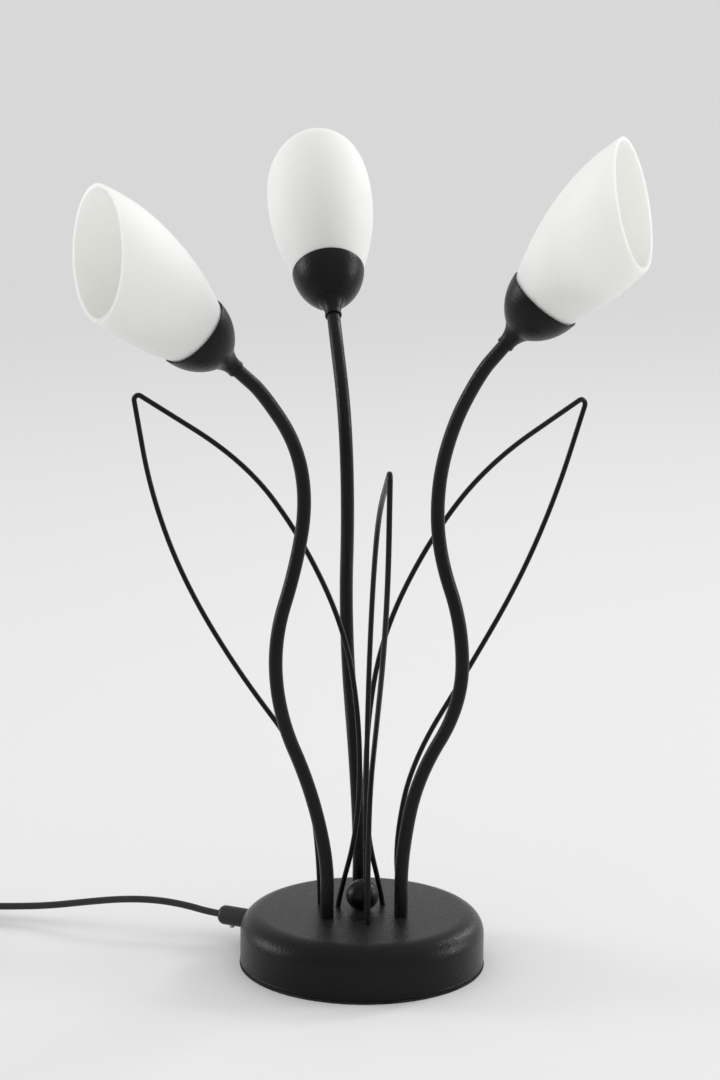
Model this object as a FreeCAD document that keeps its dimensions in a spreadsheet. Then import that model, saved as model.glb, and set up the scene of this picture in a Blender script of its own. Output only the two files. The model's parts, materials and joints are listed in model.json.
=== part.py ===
import FreeCAD, Part
import Sketcher
import math
import os

from FreeCAD import Placement, Rotation, Vector

# Table lamp with three glass flowers on bent tube stems, three wire leaves and a round base.
# Millimetres and degrees. The origin is on the table under the centre of the base, +Z is up,
# and -Y is the front. Every size below is one cell of the sheet.

SIZES = {
    # What all pieces share
    "cut_overrun": 2.0,
    "fit_gap": 0.05,
    "seat_gap": 0.3,
    # Base pan, deep drawn with a large round edge
    "base_diameter": 150.0,
    "base_height": 33.6,
    "base_edge_radius": 13.4,
    "sheet_wall": 1.6,
    # Pad under the base, a little wider than the pan
    "pad_height": 1.6,
    "pad_overhang_width": 0.4,
    "pad_edge_radius": 0.5,
    # Iron weight inside the pan
    "weight_height": 7.0,
    "weight_recess_diameter": 18.0,
    "weight_recess_depth": 5.6,
    # Centre stud with its nut, distance tube and ball
    "stud_diameter": 6.0,
    "stud_hole_gap": 0.3,
    "stud_ball_depth": 11.0,
    "stud_end_length": 0.8,
    "stud_nut_flats": 10.0,
    "stud_nut_height": 4.6,
    "tube_spacer_diameter": 12.0,
    "ball_diameter": 20.0,
    "ball_seat_diameter": 6.8,
    "ball_bore_depth": 12.0,
    # Terminal block on the weight
    "block_length": 30.0,
    "block_width": 17.0,
    "block_height": 13.0,
    "block_rim_distance": 29.1,
    "block_azimuth": 20.0,
    "block_well_diameter": 4.0,
    "block_well_depth": 8.0,
    "block_well_spacing": 9.5,
    "block_well_offset": 4.5,
    # Cord grip in the side of the pan
    "grip_azimuth": 155.0,
    "grip_height_share": 0.468,
    "grip_diameter": 12.6,
    "grip_length": 23.6,
    "grip_nose_length": 2.4,
    "grip_tip_diameter": 8.6,
    "grip_thread_diameter": 9.6,
    "grip_thread_length": 9.0,
    "grip_nut_flats": 12.0,
    "grip_nut_height": 3.0,
    "grip_screw_diameter": 3.0,
    "grip_screw_offset": 8.2,
    "grip_screw_height": 1.3,
    "grip_screw_slot_width": 0.6,
    "grip_screw_slot_depth": 0.7,
    # Three stems of bent tube
    "stem_diameter": 8.3,
    "stem_wall": 1.0,
    "stem_ring_diameter": 52.4,
    "stem_ring_azimuth": 94.7,
    "stem_foot_diameter": 7.4,
    "stem_foot_depth": 9.0,
    "stem_nut_flats": 12.0,
    "stem_nut_height": 3.6,
    "stem_end_length": 22.0,
    "stem_neck_depth": 5.0,
    "left_azimuth": 210.7,
    "left_stem_offset": 0.1,
    "left_stem_height": 341.9,
    "left_stem_width": 62.7,
    "left_tilt": 40.5,
    "right_azimuth": 339.9,
    "right_stem_offset": 1.0,
    "right_stem_height": 355.2,
    "right_stem_width": 59.3,
    "right_tilt": 49.8,
    "back_azimuth": 97.7,
    "back_stem_offset": 10.1,
    "back_stem_height": 355.2,
    "back_stem_width": 68.5,
    "back_tilt": 40.5,
    # Three leaves, each one loop of wire
    "leaf_wire_diameter": 3.2,
    "leaf_ring_diameter": 44.6,
    "leaf_ring_azimuth": 37.7,
    "leaf_foot_spread": 11.7,
    "leaf_foot_depth": 5.4,
    "leaf_foot_height": 3.0,
    "leaf_tip_radius": 3.2,
    "leaf_hole_gap": 0.2,
    "leaf_strip_width": 7.0,
    "leaf_strip_height": 2.2,
    "left_leaf_azimuth": 156.8,
    "left_leaf_length": 134.5,
    "left_leaf_height": 312.0,
    "right_leaf_azimuth": 33.8,
    "right_leaf_length": 145.5,
    "right_leaf_height": 307.5,
    "front_leaf_azimuth": 274.1,
    "front_leaf_length": 139.0,
    "front_leaf_height": 303.8,
    # Trumpet neck between the stem and the cup
    "neck_length": 12.6,
    "neck_collar_diameter": 10.4,
    "neck_collar_height": 1.6,
    "neck_waist_diameter": 10.0,
    "neck_top_diameter": 18.8,
    "neck_bore_diameter": 6.4,
    # Round metal cup
    "cup_diameter": 45.5,
    "cup_depth": 24.6,
    "cup_seat_diameter": 19.2,
    "cup_side_radius": 35.0,
    "cup_wall": 0.9,
    # Hollow threaded nipple that joins the neck, the cup and the lampholder
    "nipple_diameter": 9.6,
    "nipple_bore_diameter": 6.4,
    "nipple_neck_depth": 6.5,
    "nipple_holder_depth": 6.0,
    "nipple_nut_flats": 12.0,
    "nipple_nut_height": 2.6,
    # Lampholder
    "holder_foot_diameter": 19.0,
    "holder_diameter": 22.0,
    "holder_flange_diameter": 28.4,
    "holder_flange_height": 2.0,
    "holder_flange_depth": 12.2,
    "holder_top_height": 1.5,
    "holder_recess_diameter": 15.0,
    "holder_recess_depth": 9.0,
    # Glass flower, cut off at a slant
    "glass_wall": 2.2,
    "glass_hole_diameter": 23.0,
    "glass_foot_diameter": 31.0,
    "glass_lip_diameter": 43.0,
    "glass_belly_diameter": 67.0,
    "glass_belly_height": 63.0,
    "glass_crown_radius": 124.0,
    "glass_blank_height": 108.0,
    "mouth_height": 78.1,
    "mouth_slant": 38.1,
    "mouth_edge_radius": 0.8,
    # Ring that holds the glass on the lampholder
    "ring_diameter": 27.4,
    "ring_height": 3.4,
    # Small lamp in the lampholder
    "bulb_pinch_width": 12.6,
    "bulb_pinch_thickness": 5.0,
    "bulb_pinch_height": 1.4,
    "bulb_diameter": 13.0,
    "bulb_wall": 1.0,
    "bulb_length": 32.0,
    # Cord with its coil
    "cord_diameter": 4.4,
    "cord_grip_depth": 11.0,
    "grip_straight_length": 7.0,
    "end_straight_length": 15.0,
    "coil_middle_diameter": 49.0,
    "coil_turns_in_layer": 1.875,
    "coil_pitch": 5.6,
    "coil_centre_x": -316.0,
    "coil_centre_y": 22.0,
    "coil_straight_length": 6.0,
    "tie_wall": 1.0,
    "tie_width": 5.0,
    "tie_corner_radius": 3.0,
    "tie_gap": 0.3,
    "tie_azimuth": 330.0,
    # Rocker switch in the cord
    "switch_length": 58.0,
    "switch_width": 25.0,
    "switch_height": 17.6,
    "switch_corner_radius": 8.0,
    "switch_wall": 2.0,
    "switch_edge_radius": 2.0,
    "switch_near_x": -242.0,
    "switch_near_y": 73.2,
    "switch_azimuth": 177.0,
    "rocker_length": 20.4,
    "rocker_width": 11.6,
    "rocker_throw": 14.0,
    "rocker_pivot_height": 13.6,
    "rocker_proud_height": 0.9,
    "rocker_edge_height": 1.8,
    "rocker_keel_width": 4.6,
    "rocker_gap": 0.7,
    "rocker_pin_diameter": 2.4,
    "rocker_ear_length": 5.4,
    "rocker_ear_wall": 2.4,
    # Flat two-pin plug on the end of the cord
    "plug_width": 35.0,
    "plug_height": 13.8,
    "plug_length": 40.0,
    "plug_shoulder_length": 16.0,
    "plug_tail_width": 11.0,
    "plug_edge_radius": 2.2,
    "pin_diameter": 4.0,
    "pin_length": 19.0,
    "pin_root_length": 8.0,
    "pin_root_diameter": 3.4,
    "pin_spacing": 18.6,
    "pin_tip_radius": 1.4,
}

# Places of the stem's bends: shares of the rise, and for each stem the shares of its sway.
STEM_RISE_SHARES = (0.11, 0.25, 0.385, 0.52, 0.645, 0.76, 0.865)
STEM_SWAY_SHARES = {
    "left": (0.0, 0.20, 0.54, 0.605, 0.365, 0.25, 0.365),
    "right": (0.0, 0.155, 0.62, 0.62, 0.345, 0.325, 0.485),
    "back": (0.0, 0.18, 0.555, 0.585, 0.325, 0.25, 0.38),
}
# Places of a leaf's bends on its outer and inner strand: shares of its rise and of its reach.
OUTER_RISE_SHARES = (0.13, 0.29, 0.46, 0.63, 0.80)
INNER_RISE_SHARES = (0.17, 0.37, 0.56, 0.74, 0.88)
LEAF_REACH_SHARES = {
    "left": ((0.06, 0.12, 0.475, 0.745, 0.91), (-0.145, -0.15, -0.075, 0.15, 0.435)),
    "right": ((0.02, 0.10, 0.385, 0.65, 0.84), (-0.135, -0.135, -0.06, 0.175, 0.475)),
    "front": ((0.025, 0.095, 0.435, 0.765, 0.965), (-0.125, -0.11, 0.0, 0.19, 0.455)),
}
# Where the three repeats stand on their rings, in thirds of a turn.
STEM_THIRDS = {"back": 0, "left": 1, "right": 2}
LEAF_THIRDS = {"right": 0, "left": 1, "front": 2}

# Hand-laid routes of the cord: from the grip to the switch, on to the coil, and off it to the plug.
CORD_ROUTE = (
    (-112.5, 49.4, 19.1),
    (-132.0, 53.4, 20.9),
    (-154.0, 59.0, 19.2),
    (-178.0, 65.6, 14.6),
    (-201.5, 70.6, 10.2),
)
LINK_ROUTE = (
    (-330.4, 73.4, 6.6),
    (-342.6, 60.2, 4.4),
)
TAIL_ROUTE = (
    (-346.6, -16.0, 17.0),
    (-348.4, -32.0, 10.4),
)
PLUG_PLACE = (-350.0, -62.5)

BEND_SHARE = 0.45
TOUCH = 1e-4
COIL_LAYERS = 4
CLIMB_TURNS = 0.5
SMALL_TURN = 1e-4
GAP_STEP = 0.25
GAP_SKIP = 3


class Size:
    """A number together with the sheet expression that it comes from."""

    def __init__(self, value, text):
        self.value = float(value)
        self.text = text

    @staticmethod
    def of(other):
        return other if isinstance(other, Size) else Size(other, repr(other))

    def _join(self, sign, other, value):
        return Size(value, f"({self.text} {sign} {other.text})")

    def __add__(self, other):
        other = Size.of(other)
        return self._join("+", other, self.value + other.value)

    def __radd__(self, other):
        return Size.of(other) + self

    def __sub__(self, other):
        other = Size.of(other)
        return self._join("-", other, self.value - other.value)

    def __rsub__(self, other):
        return Size.of(other) - self

    def __mul__(self, other):
        other = Size.of(other)
        return self._join("*", other, self.value * other.value)

    def __truediv__(self, other):
        other = Size.of(other)
        return self._join("/", other, self.value / other.value)

    def __neg__(self):
        return Size(-self.value, f"(0 - {self.text})")


def root(size):
    return Size(math.sqrt(size.value), f"sqrt({size.text})")


def cosine(angle):
    return Size(math.cos(math.radians(angle.value)), f"cos({angle.text})")


def sine(angle):
    return Size(math.sin(math.radians(angle.value)), f"sin({angle.text})")


def arc_radius(across, along):
    """Radius of an arc that starts straight along and has moved across after that distance."""
    return (across * across + along * along) / (across * 2)


class Sheet:
    """The sheet of driving sizes; an attribute is a Size bound to its cell."""

    def __init__(self, document, sizes):
        sheet = document.addObject("Spreadsheet::Sheet", "Sizes")
        for row, (name, value) in enumerate(sizes.items(), start=1):
            sheet.set(f"A{row}", name)
            sheet.set(f"B{row}", str(value))
            sheet.setAlias(f"B{row}", name)
        document.recompute()
        self._sheet = sheet

    def __getattr__(self, name):
        return Size(self._sheet.get(name), f"Sizes.{name}")

    def named(self, *words):
        return getattr(self, "_".join(words))


doc = FreeCAD.newDocument("table_lamp")
size = Sheet(doc, SIZES)
parts = []


def keep(piece):
    parts.append(piece)
    return piece


def new_body(name):
    body = doc.addObject("PartDesign::Body", name)
    body.Label = name
    return body


def origin_feature(body, role):
    return next(f for f in body.Origin.OriginFeatures if f.Role == role)


def new_sketch(body, role, name, lift=None):
    """A sketch on one of the body's own planes, lifted off it along its normal."""
    sketch = body.newObject("Sketcher::SketchObject", f"{body.Name}_{name}")
    sketch.AttachmentSupport = [(origin_feature(body, role), "")]
    sketch.MapMode = "FlatFace"
    if lift is not None:
        sketch.setExpression("AttachmentOffset.Base.z", lift.text)
    return sketch


def bind(sketch, index, name, value):
    sketch.renameConstraint(index, name)
    sketch.setExpression(f"Constraints.{name}", value.text)


def fix_point(sketch, shape, vertex, tag, x, y):
    """Ties a vertex to the sketch's axes by its two coordinates."""
    for axis, kind, line, value in (("x", "DistanceX", -2, x), ("y", "DistanceY", -1, y)):
        if isinstance(value, Size):
            constraint = Sketcher.Constraint(kind, -1, 1, shape, vertex, value.value)
            bind(sketch, sketch.addConstraint(constraint), f"{axis}{tag}", value)
        else:
            sketch.addConstraint(Sketcher.Constraint("PointOnObject", shape, vertex, line))


def number(value):
    return value.value if isinstance(value, Size) else float(value)


def outline(sketch, *corners):
    """A closed outline. A corner is (x, y), or (x, y, radius) where an arc arrives at it.

    The arc's centre is left of the way there, or right of it for a negative radius.
    """
    count = len(corners)
    places = [Vector(number(c[0]), number(c[1]), 0) for c in corners]
    ends = []
    for i in range(count):
        start, goal = places[i - 1], places[i]
        if len(corners[i]) == 2:
            shape = sketch.addGeometry(Part.LineSegment(start, goal), False)
            ends.append((shape, 1, 2))
            continue
        radius = corners[i][2].value
        chord = goal - start
        rise = math.sqrt(radius * radius - chord.Length * chord.Length / 4)
        left = Vector(-chord.y, chord.x, 0).normalize()
        centre = (start + goal) * 0.5 + left * math.copysign(rise, radius)
        first, last = (start, goal) if radius > 0 else (goal, start)
        angles = [math.atan2(p.y - centre.y, p.x - centre.x) for p in (first, last)]
        circle = Part.Circle(centre, Vector(0, 0, 1), abs(radius))
        shape = sketch.addGeometry(Part.ArcOfCircle(circle, *angles), False)
        ends.append((shape, 1, 2) if radius > 0 else (shape, 2, 1))
        size_of_arc = corners[i][2] if radius > 0 else -corners[i][2]
        index = sketch.addConstraint(Sketcher.Constraint("Radius", shape, abs(radius)))
        bind(sketch, index, f"r{i}", size_of_arc)
    for i in range(count):
        here, after = ends[i], ends[(i + 1) % count]
        sketch.addConstraint(Sketcher.Constraint("Coincident", here[0], here[2], after[0], after[1]))
        fix_point(sketch, here[0], here[2], i, corners[i][0], corners[i][1])


def circle_at(sketch, tag, x, y, diameter):
    middle = Vector(number(x), number(y), 0)
    circle = Part.Circle(middle, Vector(0, 0, 1), diameter.value / 2)
    shape = sketch.addGeometry(circle, False)
    index = sketch.addConstraint(Sketcher.Constraint("Diameter", shape, diameter.value))
    bind(sketch, index, f"d{tag}", diameter)
    fix_point(sketch, shape, 3, f"c{tag}", x, y)


def hexagon(sketch, flats):
    corner, half = flats / math.sqrt(3), flats / 2
    outline(
        sketch,
        (corner, 0),
        (corner / 2, half),
        (-corner / 2, half),
        (-corner, 0),
        (-corner / 2, -half),
        (corner / 2, -half),
    )


def rectangle(sketch, length, width):
    x, y = length / 2, width / 2
    outline(sketch, (x, y), (-x, y), (-x, -y), (x, -y))


def revolve(body, *corners):
    """A body turned about its own Z axis from an outline of (radius, height) corners."""
    sketch = new_sketch(body, "XZ_Plane", "profile")
    outline(sketch, *corners)
    turned = body.newObject("PartDesign::Revolution", f"{body.Name}_turned")
    turned.Profile = sketch
    turned.ReferenceAxis = (sketch, ["V_Axis"])
    turned.Angle = 360
    sketch.Visibility = False
    body.Tip = turned
    return turned


def pad(body, sketch, name, length, midplane=False):
    feature = body.newObject("PartDesign::Pad", f"{body.Name}_{name}")
    feature.Profile = sketch
    feature.setExpression("Length", length.text)
    feature.Midplane = midplane
    body.Tip = feature
    return feature


def pocket(body, sketch, name, length, reverse=False, midplane=False):
    """Cuts against the sketch's normal, or along it when reversed, and checks that it cut."""
    doc.recompute()
    before = body.Shape.Volume
    feature = body.newObject("PartDesign::Pocket", f"{body.Name}_{name}")
    feature.Profile = sketch
    feature.setExpression("Length", length.text)
    feature.Reversed = reverse
    feature.Midplane = midplane
    body.Tip = feature
    doc.recompute()
    if not body.Shape.Volume < before:
        raise RuntimeError(f"{feature.Name} cuts nothing")
    return feature


def polar_thirds(body, feature):
    pattern = body.newObject("PartDesign::PolarPattern", f"{feature.Name}_thirds")
    pattern.Originals = [feature]
    pattern.Axis = (origin_feature(body, "Z_Axis"), [""])
    pattern.Angle = 360
    pattern.Occurrences = 3
    body.Tip = pattern
    return pattern


def near(a, b):
    return abs(a - b) < TOUCH


def is_level(edge):
    return near(edge.BoundBox.ZMin, edge.BoundBox.ZMax)


def fillet(body, radius, chosen):
    """Rounds the edges of the body for which chosen(edge) holds."""
    doc.recompute()
    base = body.Tip
    names = [f"Edge{i}" for i, e in enumerate(base.Shape.Edges, start=1) if chosen(e)]
    feature = body.newObject("PartDesign::Fillet", f"{body.Name}_round")
    feature.Base = (base, names)
    feature.setExpression("Radius", radius.text)
    body.Tip = feature
    return feature


def lift(body, height):
    body.setExpression("Placement.Base.z", height.text)


def hex_nut(name, flats, height, bore):
    body = new_body(name)
    sketch = new_sketch(body, "XY_Plane", "hexagon")
    hexagon(sketch, flats)
    pad(body, sketch, "block", height)
    hole = new_sketch(body, "XY_Plane", "hole")
    circle_at(hole, "bore", 0, 0, bore)
    pocket(body, hole, "bore", height + size.cut_overrun, reverse=True)
    return keep(body)


def direction(azimuth):
    angle = math.radians(azimuth)
    return Vector(math.cos(angle), math.sin(angle), 0)


def ring_place(diameter, azimuth, height):
    return direction(azimuth) * (diameter.value / 2) + Vector(0, 0, height.value)


def bent_path(points, tight=None):
    """Straight runs joined by tangent arcs, as large as the two runs at a bend allow.

    tight maps a point's index to a bend radius of its own. Returns the wire and the radii.
    """
    edges, radii, here = [], [], points[0]
    for i in range(1, len(points) - 1):
        back, ahead = points[i - 1] - points[i], points[i + 1] - points[i]
        half_turn = (math.pi - back.getAngle(ahead)) / 2
        reach = BEND_SHARE * min(back.Length, ahead.Length)
        radius = reach / math.tan(half_turn)
        if tight and i in tight:
            radius = tight[i]
            reach = radius * math.tan(half_turn)
        back.normalize()
        ahead.normalize()
        enter, leave = points[i] + back * reach, points[i] + ahead * reach
        inward = (back + ahead).normalize()
        middle = points[i] + inward * (radius / math.cos(half_turn) - radius)
        edges.append(Part.LineSegment(here, enter).toShape())
        edges.append(Part.Arc(enter, middle, leave).toShape())
        radii.append(radius)
        here = leave
    edges.append(Part.LineSegment(here, points[-1]).toShape())
    return Part.Wire(edges), radii


def rod(path, diameter):
    """A round bar along a path."""
    start = path.Edges[0]
    tangent = start.tangentAt(start.FirstParameter)
    section = Part.Circle(start.valueAt(start.FirstParameter), tangent, diameter / 2)
    return path.makePipeShell([Part.Wire(section.toShape())], True, False)


def keep_shape(name, shape, placement=None):
    feature = doc.addObject("Part::Feature", name)
    feature.Label = name
    feature.Shape = shape
    feature.Placement = placement or Placement()
    return keep(feature)


pan_radius = size.base_diameter / 2
pan_floor = size.pad_height
pan_ceiling = size.base_height - size.sheet_wall
stud_hole = size.stud_diameter + size.stud_hole_gap * 2
weight_top = pan_floor + size.weight_height
grip_height = size.base_height * size.grip_height_share
grip_turn = Rotation(Vector(0, 0, 1), size.grip_azimuth.value)


def leaf_middle(side):
    azimuth = size.leaf_ring_azimuth.value + 120 * LEAF_THIRDS[side]
    return ring_place(size.leaf_ring_diameter, azimuth, size.base_height)


# Base pan. Its own X axis points at the cord grip, and its holes are drilled from those axes.
def make_base_cover():
    body = new_body("base_cover")
    edge, wall, height = size.base_edge_radius, size.sheet_wall, size.base_height
    flat, shoulder = pan_radius - edge, height - edge
    revolve(
        body,
        (pan_radius, pan_floor),
        (pan_radius, shoulder),
        (flat, height, edge),
        (stud_hole / 2, height),
        (stud_hole / 2, pan_ceiling),
        (flat, pan_ceiling),
        (pan_radius - wall, shoulder, -(edge - wall)),
        (pan_radius - wall, pan_floor),
    )
    depth = height + size.cut_overrun
    stems = new_sketch(body, "XY_Plane", "stem_hole")
    angle = size.stem_ring_azimuth - size.grip_azimuth
    radius = size.stem_ring_diameter / 2
    hole = size.stem_foot_diameter + size.fit_gap * 2
    circle_at(stems, "stem", radius * cosine(angle), radius * sine(angle), hole)
    polar_thirds(body, pocket(body, stems, "stem_holes", depth, reverse=True))
    legs = new_sketch(body, "XY_Plane", "leg_holes")
    wire_hole = size.leaf_wire_diameter + size.leaf_hole_gap * 2
    for side, third in LEAF_THIRDS.items():
        middle = size.leaf_ring_azimuth + 120 * third - size.grip_azimuth
        along = size.named(side, "leaf_azimuth") - size.grip_azimuth
        ring, half = size.leaf_ring_diameter / 2, size.leaf_foot_spread / 2
        for foot, reach in (("outer", half), ("inner", -half)):
            x = ring * cosine(middle) + reach * cosine(along)
            y = ring * sine(middle) + reach * sine(along)
            circle_at(legs, f"{side}_{foot}", x, y, wire_hole)
    pocket(body, legs, "leg_holes", depth, reverse=True)
    grip = new_sketch(body, "YZ_Plane", "grip_hole")
    circle_at(grip, "grip", 0, grip_height, size.grip_thread_diameter + size.fit_gap * 2)
    pocket(body, grip, "grip_hole", pan_radius + size.cut_overrun, reverse=True)
    body.Placement = Placement(Vector(), grip_turn)
    return keep(body)


def make_foot_pad():
    body = new_body("foot_pad")
    rim, height = pan_radius + size.pad_overhang_width, size.pad_height
    revolve(body, (0, 0), (rim, 0), (rim, height), (0, height))
    fillet(body, size.pad_edge_radius, lambda e: is_level(e) and near(e.BoundBox.XMax, rim.value))
    return keep(body)


# Weight with a notch that clears the nut of the cord grip. Its own X axis points at the grip.
def make_base_weight():
    body = new_body("base_weight")
    rim = pan_radius - size.sheet_wall - size.seat_gap
    recess, ceiling = size.weight_recess_diameter / 2, pan_floor + size.weight_recess_depth
    revolve(
        body,
        (recess, pan_floor),
        (rim, pan_floor),
        (rim, weight_top),
        (stud_hole / 2, weight_top),
        (stud_hole / 2, ceiling),
        (recess, ceiling),
    )
    half = size.grip_nut_flats / math.sqrt(3) + size.seat_gap
    inner, outer = rim - size.grip_thread_length - size.seat_gap, rim + size.cut_overrun
    notch = new_sketch(body, "XY_Plane", "notch")
    outline(notch, (outer, half), (inner, half), (inner, -half), (outer, -half))
    pocket(body, notch, "notch", weight_top + size.cut_overrun, reverse=True)
    body.Placement = Placement(Vector(), grip_turn)
    return keep(body)


def make_centre_fixing():
    nut_top = pan_floor + size.weight_recess_depth
    nut_bottom = nut_top - size.stud_nut_height
    foot = nut_bottom - size.stud_end_length
    stud = new_body("centre_stud")
    radius, top = size.stud_diameter / 2, size.base_height + size.stud_ball_depth
    revolve(stud, (0, foot), (radius, foot), (radius, top), (0, top))
    keep(stud)
    bore = size.stud_diameter + size.fit_gap * 2
    lift(hex_nut("stud_nut", size.stud_nut_flats, size.stud_nut_height, bore), nut_bottom)
    tube = new_body("distance_tube")
    outer = size.tube_spacer_diameter / 2
    inner = stud_hole / 2
    revolve(tube, (inner, weight_top), (outer, weight_top), (outer, pan_ceiling), (inner, pan_ceiling))
    keep(tube)
    ball = new_body("ball_nut")
    radius, seat = size.ball_diameter / 2, size.ball_seat_diameter / 2
    top = radius + root(radius * radius - seat * seat)
    depth = size.ball_bore_depth
    revolve(ball, (bore / 2, 0), (seat, 0), (0, top, radius), (0, depth), (bore / 2, depth))
    lift(ball, size.base_height)
    keep(ball)


def make_terminal_block():
    body = new_body("terminal_block")
    sketch = new_sketch(body, "XY_Plane", "plan")
    rectangle(sketch, size.block_length, size.block_width)
    pad(body, sketch, "block", size.block_height)
    wells = new_sketch(body, "XY_Plane", "wells", lift=size.block_height)
    for column in (-1, 0, 1):
        for row in (-1, 1):
            x = size.block_well_spacing * column if column else 0
            y = size.block_well_offset * row
            circle_at(wells, f"{column + 1}{row + 1}", x, y, size.block_well_diameter)
    pocket(body, wells, "wells", size.block_well_depth)
    reach = pan_radius - size.sheet_wall - size.seat_gap - size.block_rim_distance
    place = ring_place(reach * 2, size.block_azimuth.value, weight_top)
    body.Placement = Placement(place, Rotation(Vector(0, 0, 1), size.block_azimuth.value + 90))
    return keep(body)


# Cord grip. Its own Z axis is the way out of the pan and its X axis points down.
def make_cord_grip():
    outward = direction(size.grip_azimuth.value)
    turn = Rotation(Vector(0, 0, -1), Vector(), outward, "ZXY")
    face = outward * pan_radius.value + Vector(0, 0, grip_height.value)
    body = new_body("grip_body")
    bore = (size.cord_diameter + size.fit_gap * 2) / 2
    thread, wide = size.grip_thread_diameter / 2, size.grip_diameter / 2
    length, start = size.grip_length, -size.grip_thread_length
    revolve(
        body,
        (bore, start),
        (thread, start),
        (thread, 0),
        (wide, 0),
        (wide, length - size.grip_nose_length),
        (size.grip_tip_diameter / 2, length),
        (bore, length),
    )
    screw = new_sketch(body, "YZ_Plane", "screw_hole")
    along = length - size.grip_screw_offset
    circle_at(screw, "screw", 0, along, size.grip_screw_diameter + size.fit_gap * 2)
    pocket(body, screw, "screw_hole", wide + size.cut_overrun, reverse=True)
    body.Placement = Placement(face, turn)
    keep(body)
    inner_radius, corner = pan_radius - size.sheet_wall, size.grip_nut_flats / math.sqrt(3)
    hollow = inner_radius - root(inner_radius * inner_radius - corner * corner)
    over = max((grip_height + corner - size.base_height + size.base_edge_radius).value, 0)
    inner_edge = (size.base_edge_radius - size.sheet_wall).value
    lean = inner_edge - math.sqrt(inner_edge * inner_edge - over * over)
    inner_face = size.sheet_wall + hollow + size.seat_gap + lean
    bore_of_nut = size.grip_thread_diameter + size.fit_gap * 2
    nut = hex_nut("grip_nut", size.grip_nut_flats, size.grip_nut_height, bore_of_nut)
    back = inner_face + size.grip_nut_height
    nut.Placement = Placement(face - outward * back.value, turn)
    pin = new_body("grip_screw")
    radius, tip = size.grip_screw_diameter / 2, bore + size.fit_gap
    head = wide + size.grip_screw_height
    revolve(pin, (0, tip), (radius, tip), (radius, head), (0, head))
    slot = new_sketch(pin, "XY_Plane", "slot", lift=head)
    rectangle(slot, size.grip_screw_diameter + size.cut_overrun, size.grip_screw_slot_width)
    pocket(pin, slot, "slot", size.grip_screw_slot_depth)
    place = face + outward * along.value
    pin.Placement = Placement(place, Rotation(Vector(1, 0, 0), 180))
    keep(pin)


def stem_placement(side):
    azimuth = size.stem_ring_azimuth.value + 120 * STEM_THIRDS[side]
    foot = ring_place(size.stem_ring_diameter, azimuth, size.base_height)
    return Placement(foot, Rotation(Vector(0, 0, 1), size.named(side, "azimuth").value))


def head_axis(side):
    """Direction of a flower in its stem's plane."""
    tilt = math.radians(size.named(side, "tilt").value)
    return Vector(math.cos(tilt), 0, math.sin(tilt))


def stem_point(side, sway_share, rise_share):
    """A place in the stem's frame. The stem drifts steadily to the side above its first bend."""
    first = STEM_RISE_SHARES[0]
    drift = size.named(side, "stem_offset").value * (rise_share - first) / (1 - first)
    sway = size.named(side, "stem_width").value * sway_share
    return Vector(sway, drift, size.named(side, "stem_height").value * rise_share)


def stem_end(side):
    return stem_point(side, 1, 1)


def head_placement(side, below_rim):
    """Frame of a flower: +Z out of it, +X to its long inner side, the given depth below the cup's rim."""
    axis = head_axis(side)
    across = Vector(-axis.z, 0, axis.x)
    rim = stem_end(side) + axis * (size.neck_length + size.cup_depth).value
    turn = Rotation(across, Vector(), axis, "ZXY")
    return stem_placement(side).multiply(Placement(rim - axis * below_rim, turn))


def make_stem(side):
    axis, end = head_axis(side), stem_end(side)
    bends = [stem_point(side, across, up) for up, across in zip(STEM_RISE_SHARES, STEM_SWAY_SHARES[side])]
    tip = end + axis * size.stem_neck_depth.value
    route = bends + [end - axis * size.stem_end_length.value, tip]
    outside, _ = bent_path([Vector()] + route)
    depth = size.stem_foot_depth.value
    inside, _ = bent_path([Vector(0, 0, -depth)] + route)
    tube = rod(outside, size.stem_diameter.value)
    foot = Part.makeCylinder(size.stem_foot_diameter.value / 2, depth, Vector(0, 0, -depth))
    bore = rod(inside, (size.stem_diameter - size.stem_wall * 2).value)
    solid = tube.fuse(foot).cut(bore).removeSplitter()
    return keep_shape(f"stem_{side}", solid.Solids[0], stem_placement(side))


def make_stem_nut(side):
    bore = size.stem_foot_diameter + size.fit_gap * 2
    nut = hex_nut(f"stem_nut_{side}", size.stem_nut_flats, size.stem_nut_height, bore)
    azimuth = size.stem_ring_azimuth.value + 120 * STEM_THIRDS[side]
    nut.Placement.Base = ring_place(size.stem_ring_diameter, azimuth, pan_ceiling - size.stem_nut_height)


def leaf_turn(side):
    return Rotation(Vector(0, 0, 1), size.named(side, "leaf_azimuth").value)


def make_leaf(side):
    reach = size.named(side, "leaf_length").value
    rise = size.named(side, "leaf_height").value
    spread, depth = size.leaf_foot_spread.value / 2, size.leaf_foot_depth.value
    outer_shares, inner_shares = LEAF_REACH_SHARES[side]

    def strand(foot, ups, alongs):
        feet = [Vector(foot, 0, -depth), Vector(foot, 0, size.leaf_foot_height.value)]
        return feet + [Vector(reach * a, 0, rise * u) for u, a in zip(ups, alongs)]

    outer = strand(spread, OUTER_RISE_SHARES, outer_shares)
    inner = strand(-spread, INNER_RISE_SHARES, inner_shares)
    points = outer + [Vector(reach, 0, rise)] + inner[::-1]
    path, _ = bent_path(points, tight={len(outer): size.leaf_tip_radius.value})
    wire = rod(path, size.leaf_wire_diameter.value)
    return keep_shape(f"leaf_{side}", wire.Solids[0], Placement(leaf_middle(side), leaf_turn(side)))


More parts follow.
